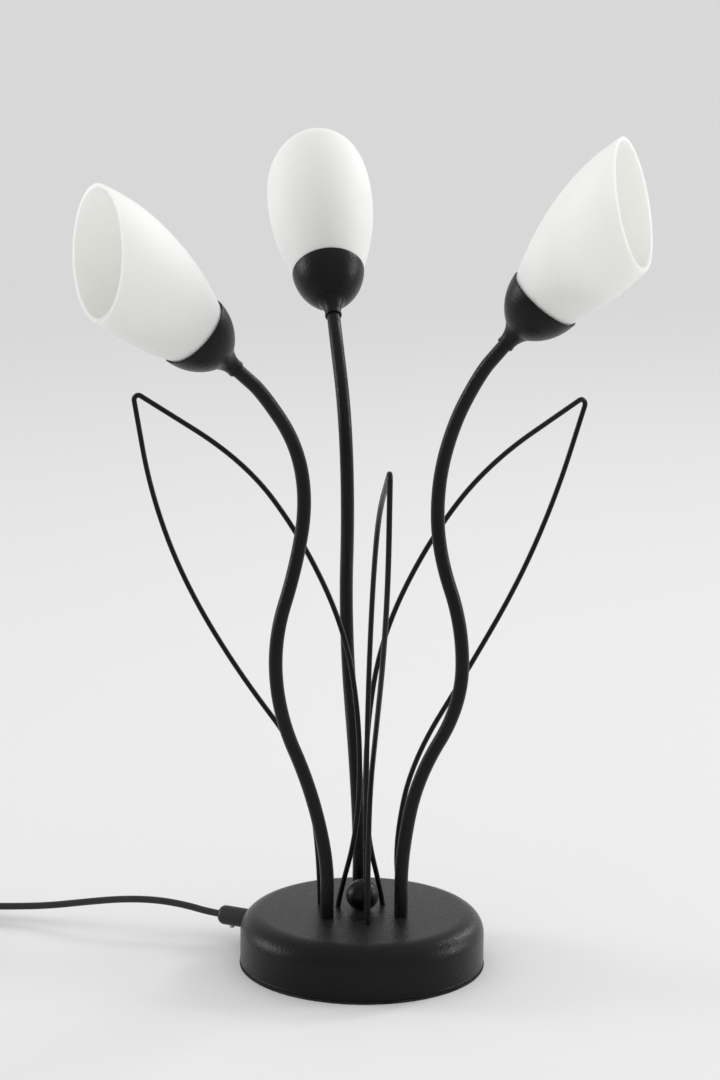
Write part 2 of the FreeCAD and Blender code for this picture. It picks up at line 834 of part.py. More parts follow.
def make_leaf_strip(side):
    """Steel strip under the pan that ties the two legs of a leaf."""
    body = new_body(f"leaf_strip_{side}")
    half = size.leaf_foot_spread / 2
    sketch = new_sketch(body, "XY_Plane", "plan")
    rectangle(sketch, size.leaf_foot_spread + size.leaf_strip_width, size.leaf_strip_width)
    pad(body, sketch, "strip", size.leaf_strip_height)
    holes = new_sketch(body, "XY_Plane", "holes")
    bore = size.leaf_wire_diameter + size.fit_gap * 2
    circle_at(holes, "outer", half, 0, bore)
    circle_at(holes, "inner", -half, 0, bore)
    pocket(body, holes, "holes", size.leaf_strip_height + size.cut_overrun, reverse=True)
    below = (size.sheet_wall + size.leaf_strip_height).value
    place = leaf_middle(side) - Vector(0, 0, below)
    body.Placement = Placement(place, leaf_turn(side))
    return keep(body)


# The pieces of a flower. Heights are measured from the plane of the cup's rim.
cup_floor = -size.cup_depth + size.cup_wall
nut_top = cup_floor + size.nipple_nut_height
flange_top = -size.holder_flange_depth
cup_seat = size.cup_seat_diameter / 2
cup_rim = size.cup_diameter / 2
cup_flare = cup_rim - cup_seat
cup_slope = root(cup_flare * cup_flare + size.cup_depth * size.cup_depth)
cup_height = root(size.cup_side_radius * size.cup_side_radius - cup_slope * cup_slope / 4)
# The middle of the cup's side arc: its distance from the axis and its height
cup_arc_x = (cup_rim + cup_seat) / 2 - size.cup_depth / cup_slope * cup_height
cup_arc_z = cup_flare / cup_slope * cup_height - size.cup_depth / 2
cup_inside = size.cup_side_radius - size.cup_wall
nipple_hole = (size.nipple_diameter + size.fit_gap * 2) / 2


def make_neck(side):
    body = new_body(f"neck_{side}")
    foot, top = -size.cup_depth - size.neck_length, -size.cup_depth
    lip = foot + size.neck_collar_height
    waist, wide = size.neck_waist_diameter / 2, size.neck_top_diameter / 2
    socket, passage = (size.stem_diameter + size.fit_gap * 2) / 2, size.neck_bore_diameter / 2
    socket_top = foot + size.stem_neck_depth + size.fit_gap
    thread = top - size.nipple_neck_depth
    flare = arc_radius(wide - waist, top - lip)
    revolve(
        body,
        (socket, foot),
        (size.neck_collar_diameter / 2, foot),
        (size.neck_collar_diameter / 2, lip),
        (waist, lip),
        (wide, top, -flare),
        (nipple_hole, top),
        (nipple_hole, thread),
        (passage, thread),
        (passage, socket_top),
        (socket, socket_top),
    )
    return body


def make_cup(side):
    body = new_body(f"cup_{side}")
    drop = cup_floor - cup_arc_z
    inner_rim = cup_arc_x + root(cup_inside * cup_inside - cup_arc_z * cup_arc_z)
    inner_seat = cup_arc_x + root(cup_inside * cup_inside - drop * drop)
    revolve(
        body,
        (nipple_hole, -size.cup_depth),
        (cup_seat, -size.cup_depth),
        (cup_rim, 0, size.cup_side_radius),
        (inner_rim, 0),
        (inner_seat, cup_floor, -cup_inside),
        (nipple_hole, cup_floor),
    )
    return body


def make_nipple(side):
    body = new_body(f"nipple_{side}")
    bottom = -size.cup_depth - size.nipple_neck_depth + size.fit_gap
    top = nut_top + size.nipple_holder_depth
    inner, outer = size.nipple_bore_diameter / 2, size.nipple_diameter / 2
    revolve(body, (inner, bottom), (outer, bottom), (outer, top), (inner, top))
    return body


def make_holder(side):
    body = new_body(f"lampholder_{side}")
    foot, wide = size.holder_foot_diameter / 2, size.holder_diameter / 2
    flange, recess = size.holder_flange_diameter / 2, size.holder_recess_diameter / 2
    flange_bottom = flange_top - size.holder_flange_height
    thread_top = nut_top + size.nipple_holder_depth + size.fit_gap
    recess_floor = size.holder_top_height - size.holder_recess_depth
    revolve(
        body,
        (nipple_hole, nut_top),
        (foot, nut_top),
        (foot, flange_bottom),
        (flange, flange_bottom),
        (flange, flange_top),
        (wide, flange_top),
        (wide, size.holder_top_height),
        (recess, size.holder_top_height),
        (recess, recess_floor),
        (0, recess_floor),
        (0, thread_top),
        (nipple_hole, thread_top),
    )
    return body


def make_glass(side):
    body = new_body(f"glass_{side}")
    wall = size.glass_wall
    hole, foot = size.glass_hole_diameter / 2, size.glass_foot_diameter / 2
    lip = size.glass_lip_diameter / 2
    belly, belly_height = size.glass_belly_diameter / 2, size.glass_belly_height
    bowl, crown = arc_radius(belly - lip, belly_height), size.glass_crown_radius
    blank = size.glass_blank_height - belly_height

    def at_blank(radius):
        return belly - crown + root(radius * radius - blank * blank)

    bowl_inside, crown_inside = bowl - wall, crown - wall
    lip_inside = belly - bowl + root(bowl_inside * bowl_inside - belly_height * belly_height)
    revolve(
        body,
        (hole, flange_top),
        (foot, flange_top),
        (lip, 0),
        (belly, belly_height, bowl),
        (at_blank(crown), size.glass_blank_height, crown),
        (at_blank(crown_inside), size.glass_blank_height),
        (belly - wall, belly_height, -crown_inside),
        (lip_inside, 0, -bowl_inside),
        (foot - wall / 2, flange_top + wall),
        (hole, flange_top + wall),
    )
    mouth = new_sketch(body, "XZ_Plane", "mouth")
    slope = sine(size.mouth_slant) / cosine(size.mouth_slant)
    far = belly + size.cut_overrun
    low, high = size.mouth_height - slope * far, size.mouth_height + slope * far
    top = high + size.glass_blank_height
    outline(mouth, (-far, low), (far, high), (far, top), (-far, top))
    pocket(body, mouth, "mouth", far * 2, midplane=True)
    steep = math.radians(size.mouth_slant.value)
    normal = Vector(-math.sin(steep), 0, math.cos(steep))
    cut = Vector(0, 0, size.mouth_height.value)

    def on_cut(edge):
        return all(near((p - cut).dot(normal), 0) for p in edge.discretize(9))

    fillet(body, size.mouth_edge_radius, on_cut)
    return body


def make_ring(side):
    body = new_body(f"glass_ring_{side}")
    bottom = flange_top + size.glass_wall
    inner, outer = size.holder_diameter / 2 + size.fit_gap, size.ring_diameter / 2
    top = bottom + size.ring_height
    revolve(body, (inner, bottom), (outer, bottom), (outer, top), (inner, top))
    return body


def make_bulb(side):
    """A glass capsule with a flat pinched foot that stands in the lampholder."""
    body = new_body(f"bulb_{side}")
    bottom = size.holder_top_height + size.bulb_pinch_height
    outer, wall = size.bulb_diameter / 2, size.bulb_wall
    inner, straight = outer - wall, bottom + size.bulb_length - outer
    revolve(
        body,
        (0, bottom),
        (outer, bottom),
        (outer, straight),
        (0, straight + outer, outer),
        (0, straight + inner),
        (inner, straight, -inner),
        (inner, bottom + wall),
        (0, bottom + wall),
    )
    foot = size.holder_top_height - size.holder_recess_depth
    pinch = new_sketch(body, "XY_Plane", "pinch", lift=foot)
    rectangle(pinch, size.bulb_pinch_width, size.bulb_pinch_thickness)
    pad(body, pinch, "pinch", bottom + wall / 2 - foot)
    return body


def make_nipple_nut(side):
    bore = size.nipple_diameter + size.fit_gap * 2
    nut = hex_nut(f"nipple_nut_{side}", size.nipple_nut_flats, size.nipple_nut_height, bore)
    nut.Placement = head_placement(side, -cup_floor.value)


def make_head(side):
    for make in (make_neck, make_cup, make_nipple, make_holder, make_glass, make_ring, make_bulb):
        body = keep(make(side))
        body.Placement = head_placement(side, 0)
    make_nipple_nut(side)


# Rocker switch. Its own X axis is the way of the cord, from the lamp on, and its Z axis is up.
def switch_placement():
    azimuth = size.switch_azimuth.value
    near = Vector(size.switch_near_x.value, size.switch_near_y.value, 0)
    middle = near + direction(azimuth) * (size.switch_length.value / 2)
    return Placement(middle, Rotation(Vector(0, 0, 1), azimuth))


def rounded_plan(sketch, half_length, half_width, corner):
    x, y = half_length, half_width
    outline(
        sketch,
        (x, -y + corner, corner),
        (x, y - corner),
        (x - corner, y, corner),
        (-x + corner, y),
        (-x, y - corner, corner),
        (-x, -y + corner),
        (-x + corner, -y, corner),
        (x - corner, -y),
    )


def switch_shell(name, bottom, floor, split):
    """Half of the switch's housing, open at the split, with its cavity and two cord channels."""
    body = new_body(name)
    half = size.switch_height / 2
    wall, corner = size.switch_wall, size.switch_corner_radius
    plan = new_sketch(body, "XY_Plane", "plan", lift=bottom)
    rounded_plan(plan, size.switch_length / 2, size.switch_width / 2, corner)
    pad(body, plan, "shell", half)
    fillet(body, size.switch_edge_radius, lambda e: is_level(e) and not near(e.BoundBox.ZMin, split.value))
    cavity = new_sketch(body, "XY_Plane", "cavity", lift=floor)
    rounded_plan(cavity, size.switch_length / 2 - wall, size.switch_width / 2 - wall, corner - wall)
    pocket(body, cavity, "cavity", half - wall, reverse=True)
    channel = new_sketch(body, "YZ_Plane", "channel")
    circle_at(channel, "cord", 0, half, size.cord_diameter + size.fit_gap * 2)
    pocket(body, channel, "channel", size.switch_length + size.cut_overrun, midplane=True)
    return body


def make_switch():
    half = size.switch_height / 2
    bottom = switch_shell("switch_bottom", None, size.switch_wall, half)
    top = switch_shell("switch_top", half, half, half)
    window_width = size.rocker_width + size.seat_gap * 2
    ear_middle = (window_width + size.rocker_ear_wall) / 2
    for tag in (1, -1):
        ear = new_sketch(top, "XY_Plane", f"ear_{tag + 1}", lift=half)
        x, near, far = size.rocker_ear_length / 2, window_width / 2 * tag, size.switch_width / 2 * tag
        wall = size.switch_wall / 2 * tag
        outline(ear, (x, near), (x, far - wall), (-x, far - wall), (-x, near))
        pad(top, ear, f"ear_{tag + 1}", half - size.switch_wall / 2)
    window = new_sketch(top, "XY_Plane", "window", lift=half)
    rectangle(window, size.rocker_length + size.rocker_gap * 2, window_width)
    pocket(top, window, "window", half + size.cut_overrun, reverse=True)
    bearing = new_sketch(top, "XZ_Plane", "bearing")
    circle_at(bearing, "pin", 0, size.rocker_pivot_height, size.rocker_pin_diameter + size.fit_gap * 2)
    pocket(top, bearing, "bearing", ear_middle * 2 + size.rocker_ear_wall, midplane=True)
    for body in (bottom, top):
        body.Placement = switch_placement()
        keep(body)
    make_rocker(ear_middle * 2)


def make_rocker(pin_length):
    """Two wings that meet at an angle over the pivot; the near one is pressed down and lies level."""
    body = new_body("switch_rocker")
    reach, pivot = size.rocker_length / 2, size.rocker_pivot_height
    half_throw = size.rocker_throw / 2
    slope = sine(half_throw) / cosine(half_throw)
    valley = (size.switch_height + size.rocker_proud_height - pivot) / cosine(half_throw)
    steep = slope * slope + 1
    tip = (root(reach * reach * steep - valley * valley) - valley * slope) / steep
    top = valley + slope * tip
    low = top - size.rocker_edge_height
    under = root(reach * reach - low * low)
    keel = size.rocker_keel_width / 2
    sketch = new_sketch(body, "XZ_Plane", "profile")
    outline(
        sketch,
        (0, valley),
        (-tip, top),
        (-under, low, reach),
        (-keel, -keel),
        (keel, -keel),
        (under, low),
        (tip, top, reach),
    )
    pad(body, sketch, "rocker", size.rocker_width, midplane=True)
    pins = new_sketch(body, "XZ_Plane", "pin")
    circle_at(pins, "pin", 0, 0, size.rocker_pin_diameter)
    pad(body, pins, "pin", pin_length, midplane=True)
    tilt = Rotation(Vector(0, 1, 0), -half_throw.value)
    body.Placement = switch_placement().multiply(Placement(Vector(0, 0, pivot.value), tilt))
    return keep(body)


# Cord. Its free stretches are straight runs joined by arcs, and its coil is one unbroken tube.
def grip_nose():
    outward = direction(size.grip_azimuth.value)
    return outward * (pan_radius + size.grip_length).value + Vector(0, 0, grip_height.value)


def switch_end(sign):
    reach = sign * (size.switch_length / 2 - size.switch_wall).value
    return switch_placement().multVec(Vector(reach, 0, size.switch_height.value / 2))


def check_tube(name, shape, path, diameter, radii):
    section = math.pi * diameter * diameter / 4
    fullness = shape.Volume / section / path.Length
    print(
        f"{name}: length {path.Length:.1f}, volume over section x length {fullness:.4f},"
        f" least radius {min(radii):.1f}"
    )


def make_cord_run(name, points):
    path, radii = bent_path(points)
    diameter = size.cord_diameter.value
    shape = rod(path, diameter)
    check_tube(name, shape, path, diameter, radii)
    keep_shape(name, shape.Solids[0])
    return path.Length


def biarc(start, start_way, goal, goal_way):
    """Two arcs that leave one point and reach another along given directions."""
    step, ways = goal - start, start_way + goal_way
    bend = 2 * (1 - start_way.dot(goal_way))
    along = step.dot(ways)
    if bend < 1e-9:
        handle = step.dot(step) / (4 * step.dot(goal_way))
    else:
        handle = (math.sqrt(along * along + bend * step.dot(step)) - along) / bend
    first, second = start + start_way * handle, goal - goal_way * handle
    joint = (first + second) * 0.5
    arcs = []
    for a, corner, b in ((start, first, joint), (joint, second, goal)):
        chord = b - a
        middle, offset = (a + b) * 0.5, corner - (a + b) * 0.5
        if offset.Length < chord.Length * 1e-6:
            arcs.append(Part.LineSegment(a, b).toShape())
            continue
        lean = math.atan2(offset.Length, chord.Length / 2)
        rise = chord.Length / 2 * math.tan(lean / 2)
        arcs.append(Part.Arc(a, middle + offset.normalize() * rise, b).toShape())
    return arcs


def coil_base():
    return size.tie_wall.value + size.tie_gap.value + size.cord_diameter.value / 2


def coil_reach():
    """Inner and outer radius of the coil's middle line."""
    middle, spread = size.coil_middle_diameter.value, size.coil_pitch.value * size.coil_turns_in_layer.value
    return (middle - spread) / 2, (middle + spread) / 2


def coil_frames():
    """Points and directions a quarter turn apart: spirals in, up, out, up, in, up and out again."""
    turns, pitch = size.coil_turns_in_layer.value, size.coil_pitch.value
    centre = Vector(size.coil_centre_x.value, size.coil_centre_y.value, coil_base())
    inner, outer = coil_reach()
    total = COIL_LAYERS * turns + (COIL_LAYERS - 1) * CLIMB_TURNS

    def place(turn):
        layer = min(int(turn / (turns + CLIMB_TURNS)), COIL_LAYERS - 1)
        within = turn - layer * (turns + CLIMB_TURNS)
        start, stop = (inner, outer) if layer % 2 else (outer, inner)
        radius = start + (stop - start) * min(within / turns, 1)
        rise = max(0, within - turns) / CLIMB_TURNS
        height = pitch * (layer + rise * rise * (3 - 2 * rise))
        return centre + direction(180 + 360 * turn) * radius + Vector(0, 0, height)

    frames = []
    count = round(total * 4)
    for i in range(count + 1):
        turn = total * i / count
        behind, ahead = place(max(turn - SMALL_TURN, 0)), place(min(turn + SMALL_TURN, total))
        frames.append((place(turn), (ahead - behind).normalize()))
    return frames


def least_gap(path, diameter):
    """Least distance between the surfaces of turns that pass each other; steps are in diameters."""
    points = path.discretize(Distance=diameter * GAP_STEP)
    skip = round(GAP_SKIP / GAP_STEP)
    gap = min(
        points[i].distanceToPoint(points[j])
        for i in range(len(points))
        for j in range(i + skip, len(points))
    )
    return gap - diameter


def make_coil():
    """Makes the coil and returns its two ends with the way of the cord there, and its length."""
    frames = coil_frames()
    first, first_way = frames[0]
    last, last_way = frames[-1]
    straight = size.coil_straight_length.value
    lead_in, run_out = first - first_way * straight, last + last_way * straight
    edges = [Part.LineSegment(lead_in, first).toShape()]
    for (a, a_way), (b, b_way) in zip(frames, frames[1:]):
        edges += biarc(a, a_way, b, b_way)
    edges.append(Part.LineSegment(last, run_out).toShape())
    path = Part.Wire(edges)
    diameter = size.cord_diameter.value
    shape = rod(path, diameter)
    radii = [e.Curve.Radius for e in path.Edges if hasattr(e.Curve, "Radius")]
    check_tube("cord_coil", shape, path, diameter, radii)
    print(f"cord_coil: least gap to itself {least_gap(path, diameter):.2f}")
    keep_shape("cord_coil", shape.Solids[0])
    return (lead_in, first_way), (run_out, last_way), path.Length


def make_tie():
    """A band round the coil's turns at one place."""
    body = new_body("cord_tie")
    inner = size.coil_pitch * size.coil_turns_in_layer + size.cord_diameter + size.tie_gap * 2
    height = size.coil_pitch * (COIL_LAYERS - 1) + size.cord_diameter + size.tie_gap * 2
    wall, corner = size.tie_wall, size.tie_corner_radius
    band = new_sketch(body, "XY_Plane", "band")
    rounded_plan(band, inner / 2 + wall, height / 2 + wall, corner)
    pad(body, band, "band", size.tie_width, midplane=True)
    hole = new_sketch(body, "XY_Plane", "hole")
    rounded_plan(hole, inner / 2, height / 2, corner - wall)
    pocket(body, hole, "hole", size.tie_width + size.cut_overrun, midplane=True)
    outward = direction(size.tie_azimuth.value)
    centre = Vector(size.coil_centre_x.value, size.coil_centre_y.value, (height / 2 + wall).value)
    place = centre + outward * (size.coil_middle_diameter.value / 2)
    body.Placement = Placement(place, Rotation(outward, Vector(0, 0, 1), Vector(), "XYZ"))
    return keep(body)


def plug_end():
    return Vector(*PLUG_PLACE, size.plug_height.value / 2)


def make_plug(way):
    """Plug that lies flat with its cord end at its place, pointing the given way, and its two pins."""
    body = new_body("plug_body")
    wide, narrow = size.plug_width / 2, size.plug_tail_width / 2
    length, shoulder = size.plug_length, size.plug_length - size.plug_shoulder_length
    plan = new_sketch(body, "XY_Plane", "plan")
    near_side = [(0, -narrow), (shoulder, -wide), (length, -wide)]
    outline(plan, *near_side, (length, wide), (shoulder, wide), (0, narrow))
    pad(body, plan, "block", size.plug_height, midplane=True)
    fillet(body, size.plug_edge_radius, is_level)
    holes = new_sketch(body, "YZ_Plane", "pin_holes", lift=length)
    root_hole = size.pin_root_diameter + size.fit_gap * 2
    for tag in (-1, 1):
        circle_at(holes, f"{tag + 1}", size.pin_spacing / 2 * tag, 0, root_hole)
    pocket(body, holes, "pin_holes", size.pin_root_length + size.fit_gap)
    place = Placement(plug_end(), Rotation(Vector(1, 0, 0), way))
    body.Placement = place
    keep(body)
    radius, length_of_pin = size.pin_diameter / 2, size.pin_root_length + size.pin_length
    tip, thin = size.pin_tip_radius, size.pin_root_diameter / 2
    for tag, name in ((-1, "plug_pin_right"), (1, "plug_pin_left")):
        pin = new_body(name)
        flat = radius - tip
        revolve(
            pin,
            (0, 0),
            (thin, 0),
            (thin, size.pin_root_length),
            (radius, size.pin_root_length),
            (radius, length_of_pin - tip),
            (flat, length_of_pin, tip),
            (0, length_of_pin),
        )
        start = Vector((length - size.pin_root_length).value, tag * size.pin_spacing.value / 2, 0)
        pin.Placement = place.multiply(Placement(start, Rotation(Vector(0, 1, 0), 90)))
        keep(pin)


def make_cord():
    outward = direction(size.grip_azimuth.value)
    along = direction(size.switch_azimuth.value)
    straight = size.end_straight_length.value
    nose = grip_nose()
    near_end, far_end = switch_end(-1), switch_end(1)
    (coil_in, way_in), (coil_out, way_out), wound = make_coil()
    lead = make_cord_run(
        "cord_lead",
        [nose - outward * size.cord_grip_depth.value, nose + outward * size.grip_straight_length.value]
        + [Vector(*point) for point in CORD_ROUTE]
        + [near_end - along * straight, near_end],
    )
    link = make_cord_run(
        "cord_link",
        [far_end, far_end + along * straight]
        + [Vector(*point) for point in LINK_ROUTE]
        + [coil_in - way_in * straight, coil_in],
    )
    last_bend = Vector(*TAIL_ROUTE[-1])
    plug_way = Vector(plug_end().x - last_bend.x, plug_end().y - last_bend.y, 0).normalize()
    tail = make_cord_run(
        "cord_tail",
        [coil_out, coil_out + way_out * straight]
        + [Vector(*point) for point in TAIL_ROUTE]
        + [plug_end() - plug_way * straight, plug_end()],
    )
    make_tie()
    make_plug(plug_way)
    print(f"cord in all: {lead + link + wound + tail + size.switch_length.value:.0f}")


make_base_cover()
make_foot_pad()
make_base_weight()
make_centre_fixing()
make_terminal_block()
make_cord_grip()
for side in STEM_THIRDS:
    make_stem(side)
    make_stem_nut(side)
    make_head(side)
for side in LEAF_THIRDS:
    make_leaf(side)
    make_leaf_strip(side)
make_switch()
make_cord()

doc.recompute()
for thing in doc.Objects:
    if "Invalid" in thing.State or "Error" in thing.State:
        raise RuntimeError(f"{thing.Name} did not build: {thing.State}")
for piece in parts:
    if piece.Shape.isNull() or not piece.Shape.isValid():
        raise RuntimeError(f"{piece.Label} has no valid shape")

os.makedirs("parts", exist_ok=True)
for piece in parts:
    piece.Shape.exportStep(f"parts/{piece.Label}.step")
print(f"{len(parts)} sub-parts")
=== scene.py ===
"""Looks of a table lamp with three opal glass flowers, three wire leaves and a round base.

Sizes of the pieces are in millimetres, everything that Blender gets is in metres. The origin is on
the table under the middle of the base, +Z is up and -Y is the front.
"""

import json
import logging
import math
from dataclasses import dataclass
from enum import Enum
from functools import cache

import bmesh
import bpy
from mathutils import Matrix, Vector

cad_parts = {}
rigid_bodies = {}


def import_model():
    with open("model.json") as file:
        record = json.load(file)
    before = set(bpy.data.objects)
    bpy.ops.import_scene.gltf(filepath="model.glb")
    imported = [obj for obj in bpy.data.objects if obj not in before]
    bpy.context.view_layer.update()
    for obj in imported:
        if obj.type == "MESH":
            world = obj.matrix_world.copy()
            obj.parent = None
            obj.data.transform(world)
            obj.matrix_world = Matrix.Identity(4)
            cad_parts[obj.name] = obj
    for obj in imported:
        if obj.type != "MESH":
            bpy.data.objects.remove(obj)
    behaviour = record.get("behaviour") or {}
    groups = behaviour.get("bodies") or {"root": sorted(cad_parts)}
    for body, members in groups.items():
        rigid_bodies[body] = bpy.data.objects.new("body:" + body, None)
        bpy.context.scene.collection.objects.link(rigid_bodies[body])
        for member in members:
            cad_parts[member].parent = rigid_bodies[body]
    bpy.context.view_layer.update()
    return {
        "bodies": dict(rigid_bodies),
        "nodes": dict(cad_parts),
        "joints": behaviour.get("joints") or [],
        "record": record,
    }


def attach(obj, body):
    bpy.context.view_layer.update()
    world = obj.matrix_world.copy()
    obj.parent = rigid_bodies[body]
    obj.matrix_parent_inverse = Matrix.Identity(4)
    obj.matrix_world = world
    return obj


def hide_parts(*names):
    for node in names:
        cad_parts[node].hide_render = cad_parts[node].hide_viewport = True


LOG = logging.getLogger("lamp")

MM = 0.001
CUT_OVERRUN = 0.1
CREASE = math.radians(32)
THIRD = 120
LAMP, ROCKER = "lamp", "rocker"
X_AXIS, Z_AXIS = Vector((1, 0, 0)), Vector((0, 0, 1))

Colour = tuple[float, float, float]
Spot = tuple[float, float, float]
Pair = tuple[float, float]
Outline = list[Pair]


def mm(*values: float) -> Vector:
    """Return a place given in millimetres as a place in metres."""
    return Vector(values) * MM


def heading(azimuth: float) -> Vector:
    """Return the level direction at an angle in degrees from +X."""
    turn = math.radians(azimuth)
    return Vector((math.cos(turn), math.sin(turn), 0))


def frame_of(origin: Vector, x: Vector, z: Vector) -> Matrix:
    """Return the placement with a given origin, X axis and Z axis.

    Args:
        origin: Where the placed piece's own origin goes, in metres.
        x: Direction of the piece's own X axis.
        z: Direction of the piece's own Z axis.

    Returns:
        The placement as a matrix.
    """
    y = z.cross(x)
    turn = Matrix((x, y, z)).transposed().to_4x4()
    return Matrix.Translation(origin) @ turn


# Finishes


class Nodes:
    """The node tree of a material or of the room."""

    def __init__(self, tree: bpy.types.NodeTree) -> None:
        """Take the tree as it is."""
        self.tree = tree

    def node(self, kind: str, **values: object) -> bpy.types.Node:
        """Add a node and set its sockets, whose names are given with _ for a space.

        Args:
            kind: Blender's name for the node.
            values: Plain values of its sockets.

        Returns:
            The node.
        """
        made = self.tree.nodes.new(kind)
        for socket, value in values.items():
            made.inputs[socket.replace("_", " ")].default_value = value
        return made

    def wire(self, source: bpy.types.NodeSocket, target: bpy.types.NodeSocket) -> None:
        """Join an output to an input."""
        self.tree.links.new(source, target)

    def remap(self, source: bpy.types.NodeSocket, span: Pair, new: Pair) -> bpy.types.NodeSocket:
        """Return an output whose span of numbers is drawn out to a new one.

        Args:
            source: The output.
            span: Its lowest and highest number.
            new: What they become.

        Returns:
            The new output.
        """
        made = self.node(
            "ShaderNodeMapRange", From_Min=span[0], From_Max=span[1], To_Min=new[0], To_Max=new[1]
        )
        self.wire(source, made.inputs["Value"])
        return made.outputs["Result"]

    def compare(self, output: str, operation: str, other: Vector) -> bpy.types.NodeSocket:
        """Compare each point's place or direction with a fixed one.

        Args:
            output: Which coordinates are compared.
            operation: How they are compared.
            other: The fixed place or direction.

        Returns:
            The output with the number that comes out.
        """
        place = self.node("ShaderNodeTexCoord")
        made = self.node("ShaderNodeVectorMath")
        made.operation = operation
        made.inputs[1].default_value = other
        self.wire(place.outputs[output], made.inputs[0])
        return made.outputs["Value"]


class Shader(Nodes):
    """A material under construction, with its main shader."""

    CLOUD_STOPS = (0.35, 0.65)
    GRAIN_STOPS = (0.3, 0.7)

    def __init__(self, name: str, values: dict[str, object]) -> None:
        """Start a material.

        Args:
            name: Name of the material.
            values: Plain values of the main shader's sockets.
        """
        self.material = bpy.data.materials.new(name)
        self.material.use_nodes = True
        super().__init__(self.material.node_tree)
        self.surface = self.tree.nodes["Principled BSDF"]
        for socket, value in values.items():
            self.surface.inputs[socket].default_value = value

    def noise(self, size: float, detail: float) -> bpy.types.NodeSocket:
        """Add a cloudy pattern that is fixed to the piece.

        Args:
            size: Size of its spots, in metres.
            detail: How many finer layers it has.

        Returns:
            The pattern's output, about 0.5 in the middle.
        """
        place = self.node("ShaderNodeTexCoord")
        spots = self.node("ShaderNodeTexNoise", Scale=1 / size, Detail=detail)
        self.wire(place.outputs["Object"], spots.inputs["Vector"])
        return spots.outputs["Fac"]

    def clouds(self, size: float, detail: float, dark: Colour, light: Colour) -> None:
        """Let soft clouds vary the colour.

        Args:
            size: Size of the clouds, in metres.
            detail: How many finer layers they have.
            dark: The darker tone.
            light: The lighter tone.
        """
        ramp = self.node("ShaderNodeValToRGB")
        for stop, place, tone in zip(ramp.color_ramp.elements, self.CLOUD_STOPS, (dark, light)):
            stop.position, stop.color = place, (*tone, 1)
        self.wire(self.noise(size, detail), ramp.inputs["Fac"])
        self.wire(ramp.outputs["Color"], self.surface.inputs["Base Color"])

    def grain(
        self, size: float, detail: float, roughness: Pair, depth: float, strength: float
    ) -> None:
        """Give the surface a fine grain that varies its gloss and raises it.

        Args:
            size: Size of the grain, in metres.
            detail: How many finer layers it has.
            roughness: Roughness in its hollows and on its tops.
            depth: Height of its tops over its hollows, in metres.
            strength: How much of the relief shows.
        """
        pattern = self.noise(size, detail)
        gloss = self.remap(pattern, self.GRAIN_STOPS, roughness)
        bump = self.node("ShaderNodeBump", Strength=strength, Distance=depth)
        self.wire(gloss, self.surface.inputs["Roughness"])
        self.wire(pattern, bump.inputs["Height"])
        self.wire(bump.outputs["Normal"], self.surface.inputs["Normal"])


@dataclass(frozen=True)
class Finish:
    """A surface finish, made into a material the first time that a piece takes it.

    Its colour drifts between two tones in soft clouds, and its fine grain varies the gloss and
    stands up a little. Its sizes are in metres.
    """

    name: str
    dark: Colour
    light: Colour
    grain: float
    depth: float
    roughness: Pair
    cloud: float
    cloud_detail: float = 2
    grain_detail: float = 3
    relief: float = 1.0

    @cache
    def material(self) -> bpy.types.Material:
        """Return the finish's material.

        Returns:
            The material, the same one each time.
        """
        shader = Shader(self.name, self.values())
        shader.clouds(self.cloud, self.cloud_detail, self.dark, self.light)
        shader.grain(self.grain, self.grain_detail, self.roughness, self.depth, self.relief)
        return shader.material

    def values(self) -> dict[str, object]:
        """Return the plain values of the main shader's sockets."""
        raise NotImplementedError


@dataclass(frozen=True)
class PowderCoat(Finish):
    """Satin black powder coat with a fine orange-peel texture."""

    dark: Colour = (0.0022, 0.0022, 0.0023)
    light: Colour = (0.0036, 0.0036, 0.0037)
    grain: float = 0.0011
    depth: float = 0.00026
    roughness: Pair = (0.25, 0.37)
    cloud: float = 0.03
    cloud_detail: float = 3
    gloss: float = 0.18
    haze: float = 0.06
    haze_roughness: float = 0.35

    def values(self) -> dict[str, object]:
        """Return the plain values of the main shader's sockets."""
        return {
            "Specular IOR Level": self.gloss,
            "Sheen Weight": self.haze,
            "Sheen Roughness": self.haze_roughness,
        }


@dataclass(frozen=True)
class OpalGlass(Finish):
    """Pressed white glass with an etched, silky skin."""

    dark: Colour = (0.885, 0.892, 0.836)
    light: Colour = (0.912, 0.918, 0.868)
    grain: float = 0.0012
    depth: float = 0.00001
    roughness: Pair = (0.50, 0.60)
    cloud: float = 0.045
    grain_detail: float = 2
    relief: float = 0.6
    gloss: float = 0.3
    glow: float = 0.9
    glow_depth: float = 0.012
    glow_reach: Colour = (1.0, 1.0, 0.92)

    def values(self) -> dict[str, object]:
        """Return the plain values of the main shader's sockets."""
        return {
            "Subsurface Weight": self.glow,
            "Subsurface Radius": self.glow_reach,
            "Subsurface Scale": self.glow_depth,
            "Specular IOR Level": self.gloss,
        }


@dataclass(frozen=True)
class ClearGlass(Finish):
    """Clear quartz glass of one tone with a faint waviness."""

    dark: Colour = (0.97, 0.98, 0.98)
    light: Colour = (0.97, 0.98, 0.98)
    grain: float = 0.006
    depth: float = 0.0001
    roughness: Pair = (0.01, 0.05)
    cloud: float = 0.012
    grain_detail: float = 1
    relief: float = 0.3
    bending: float = 1.46

    def values(self) -> dict[str, object]:
        """Return the plain values of the main shader's sockets."""
        return {"Transmission Weight": 1.0, "IOR": self.bending}


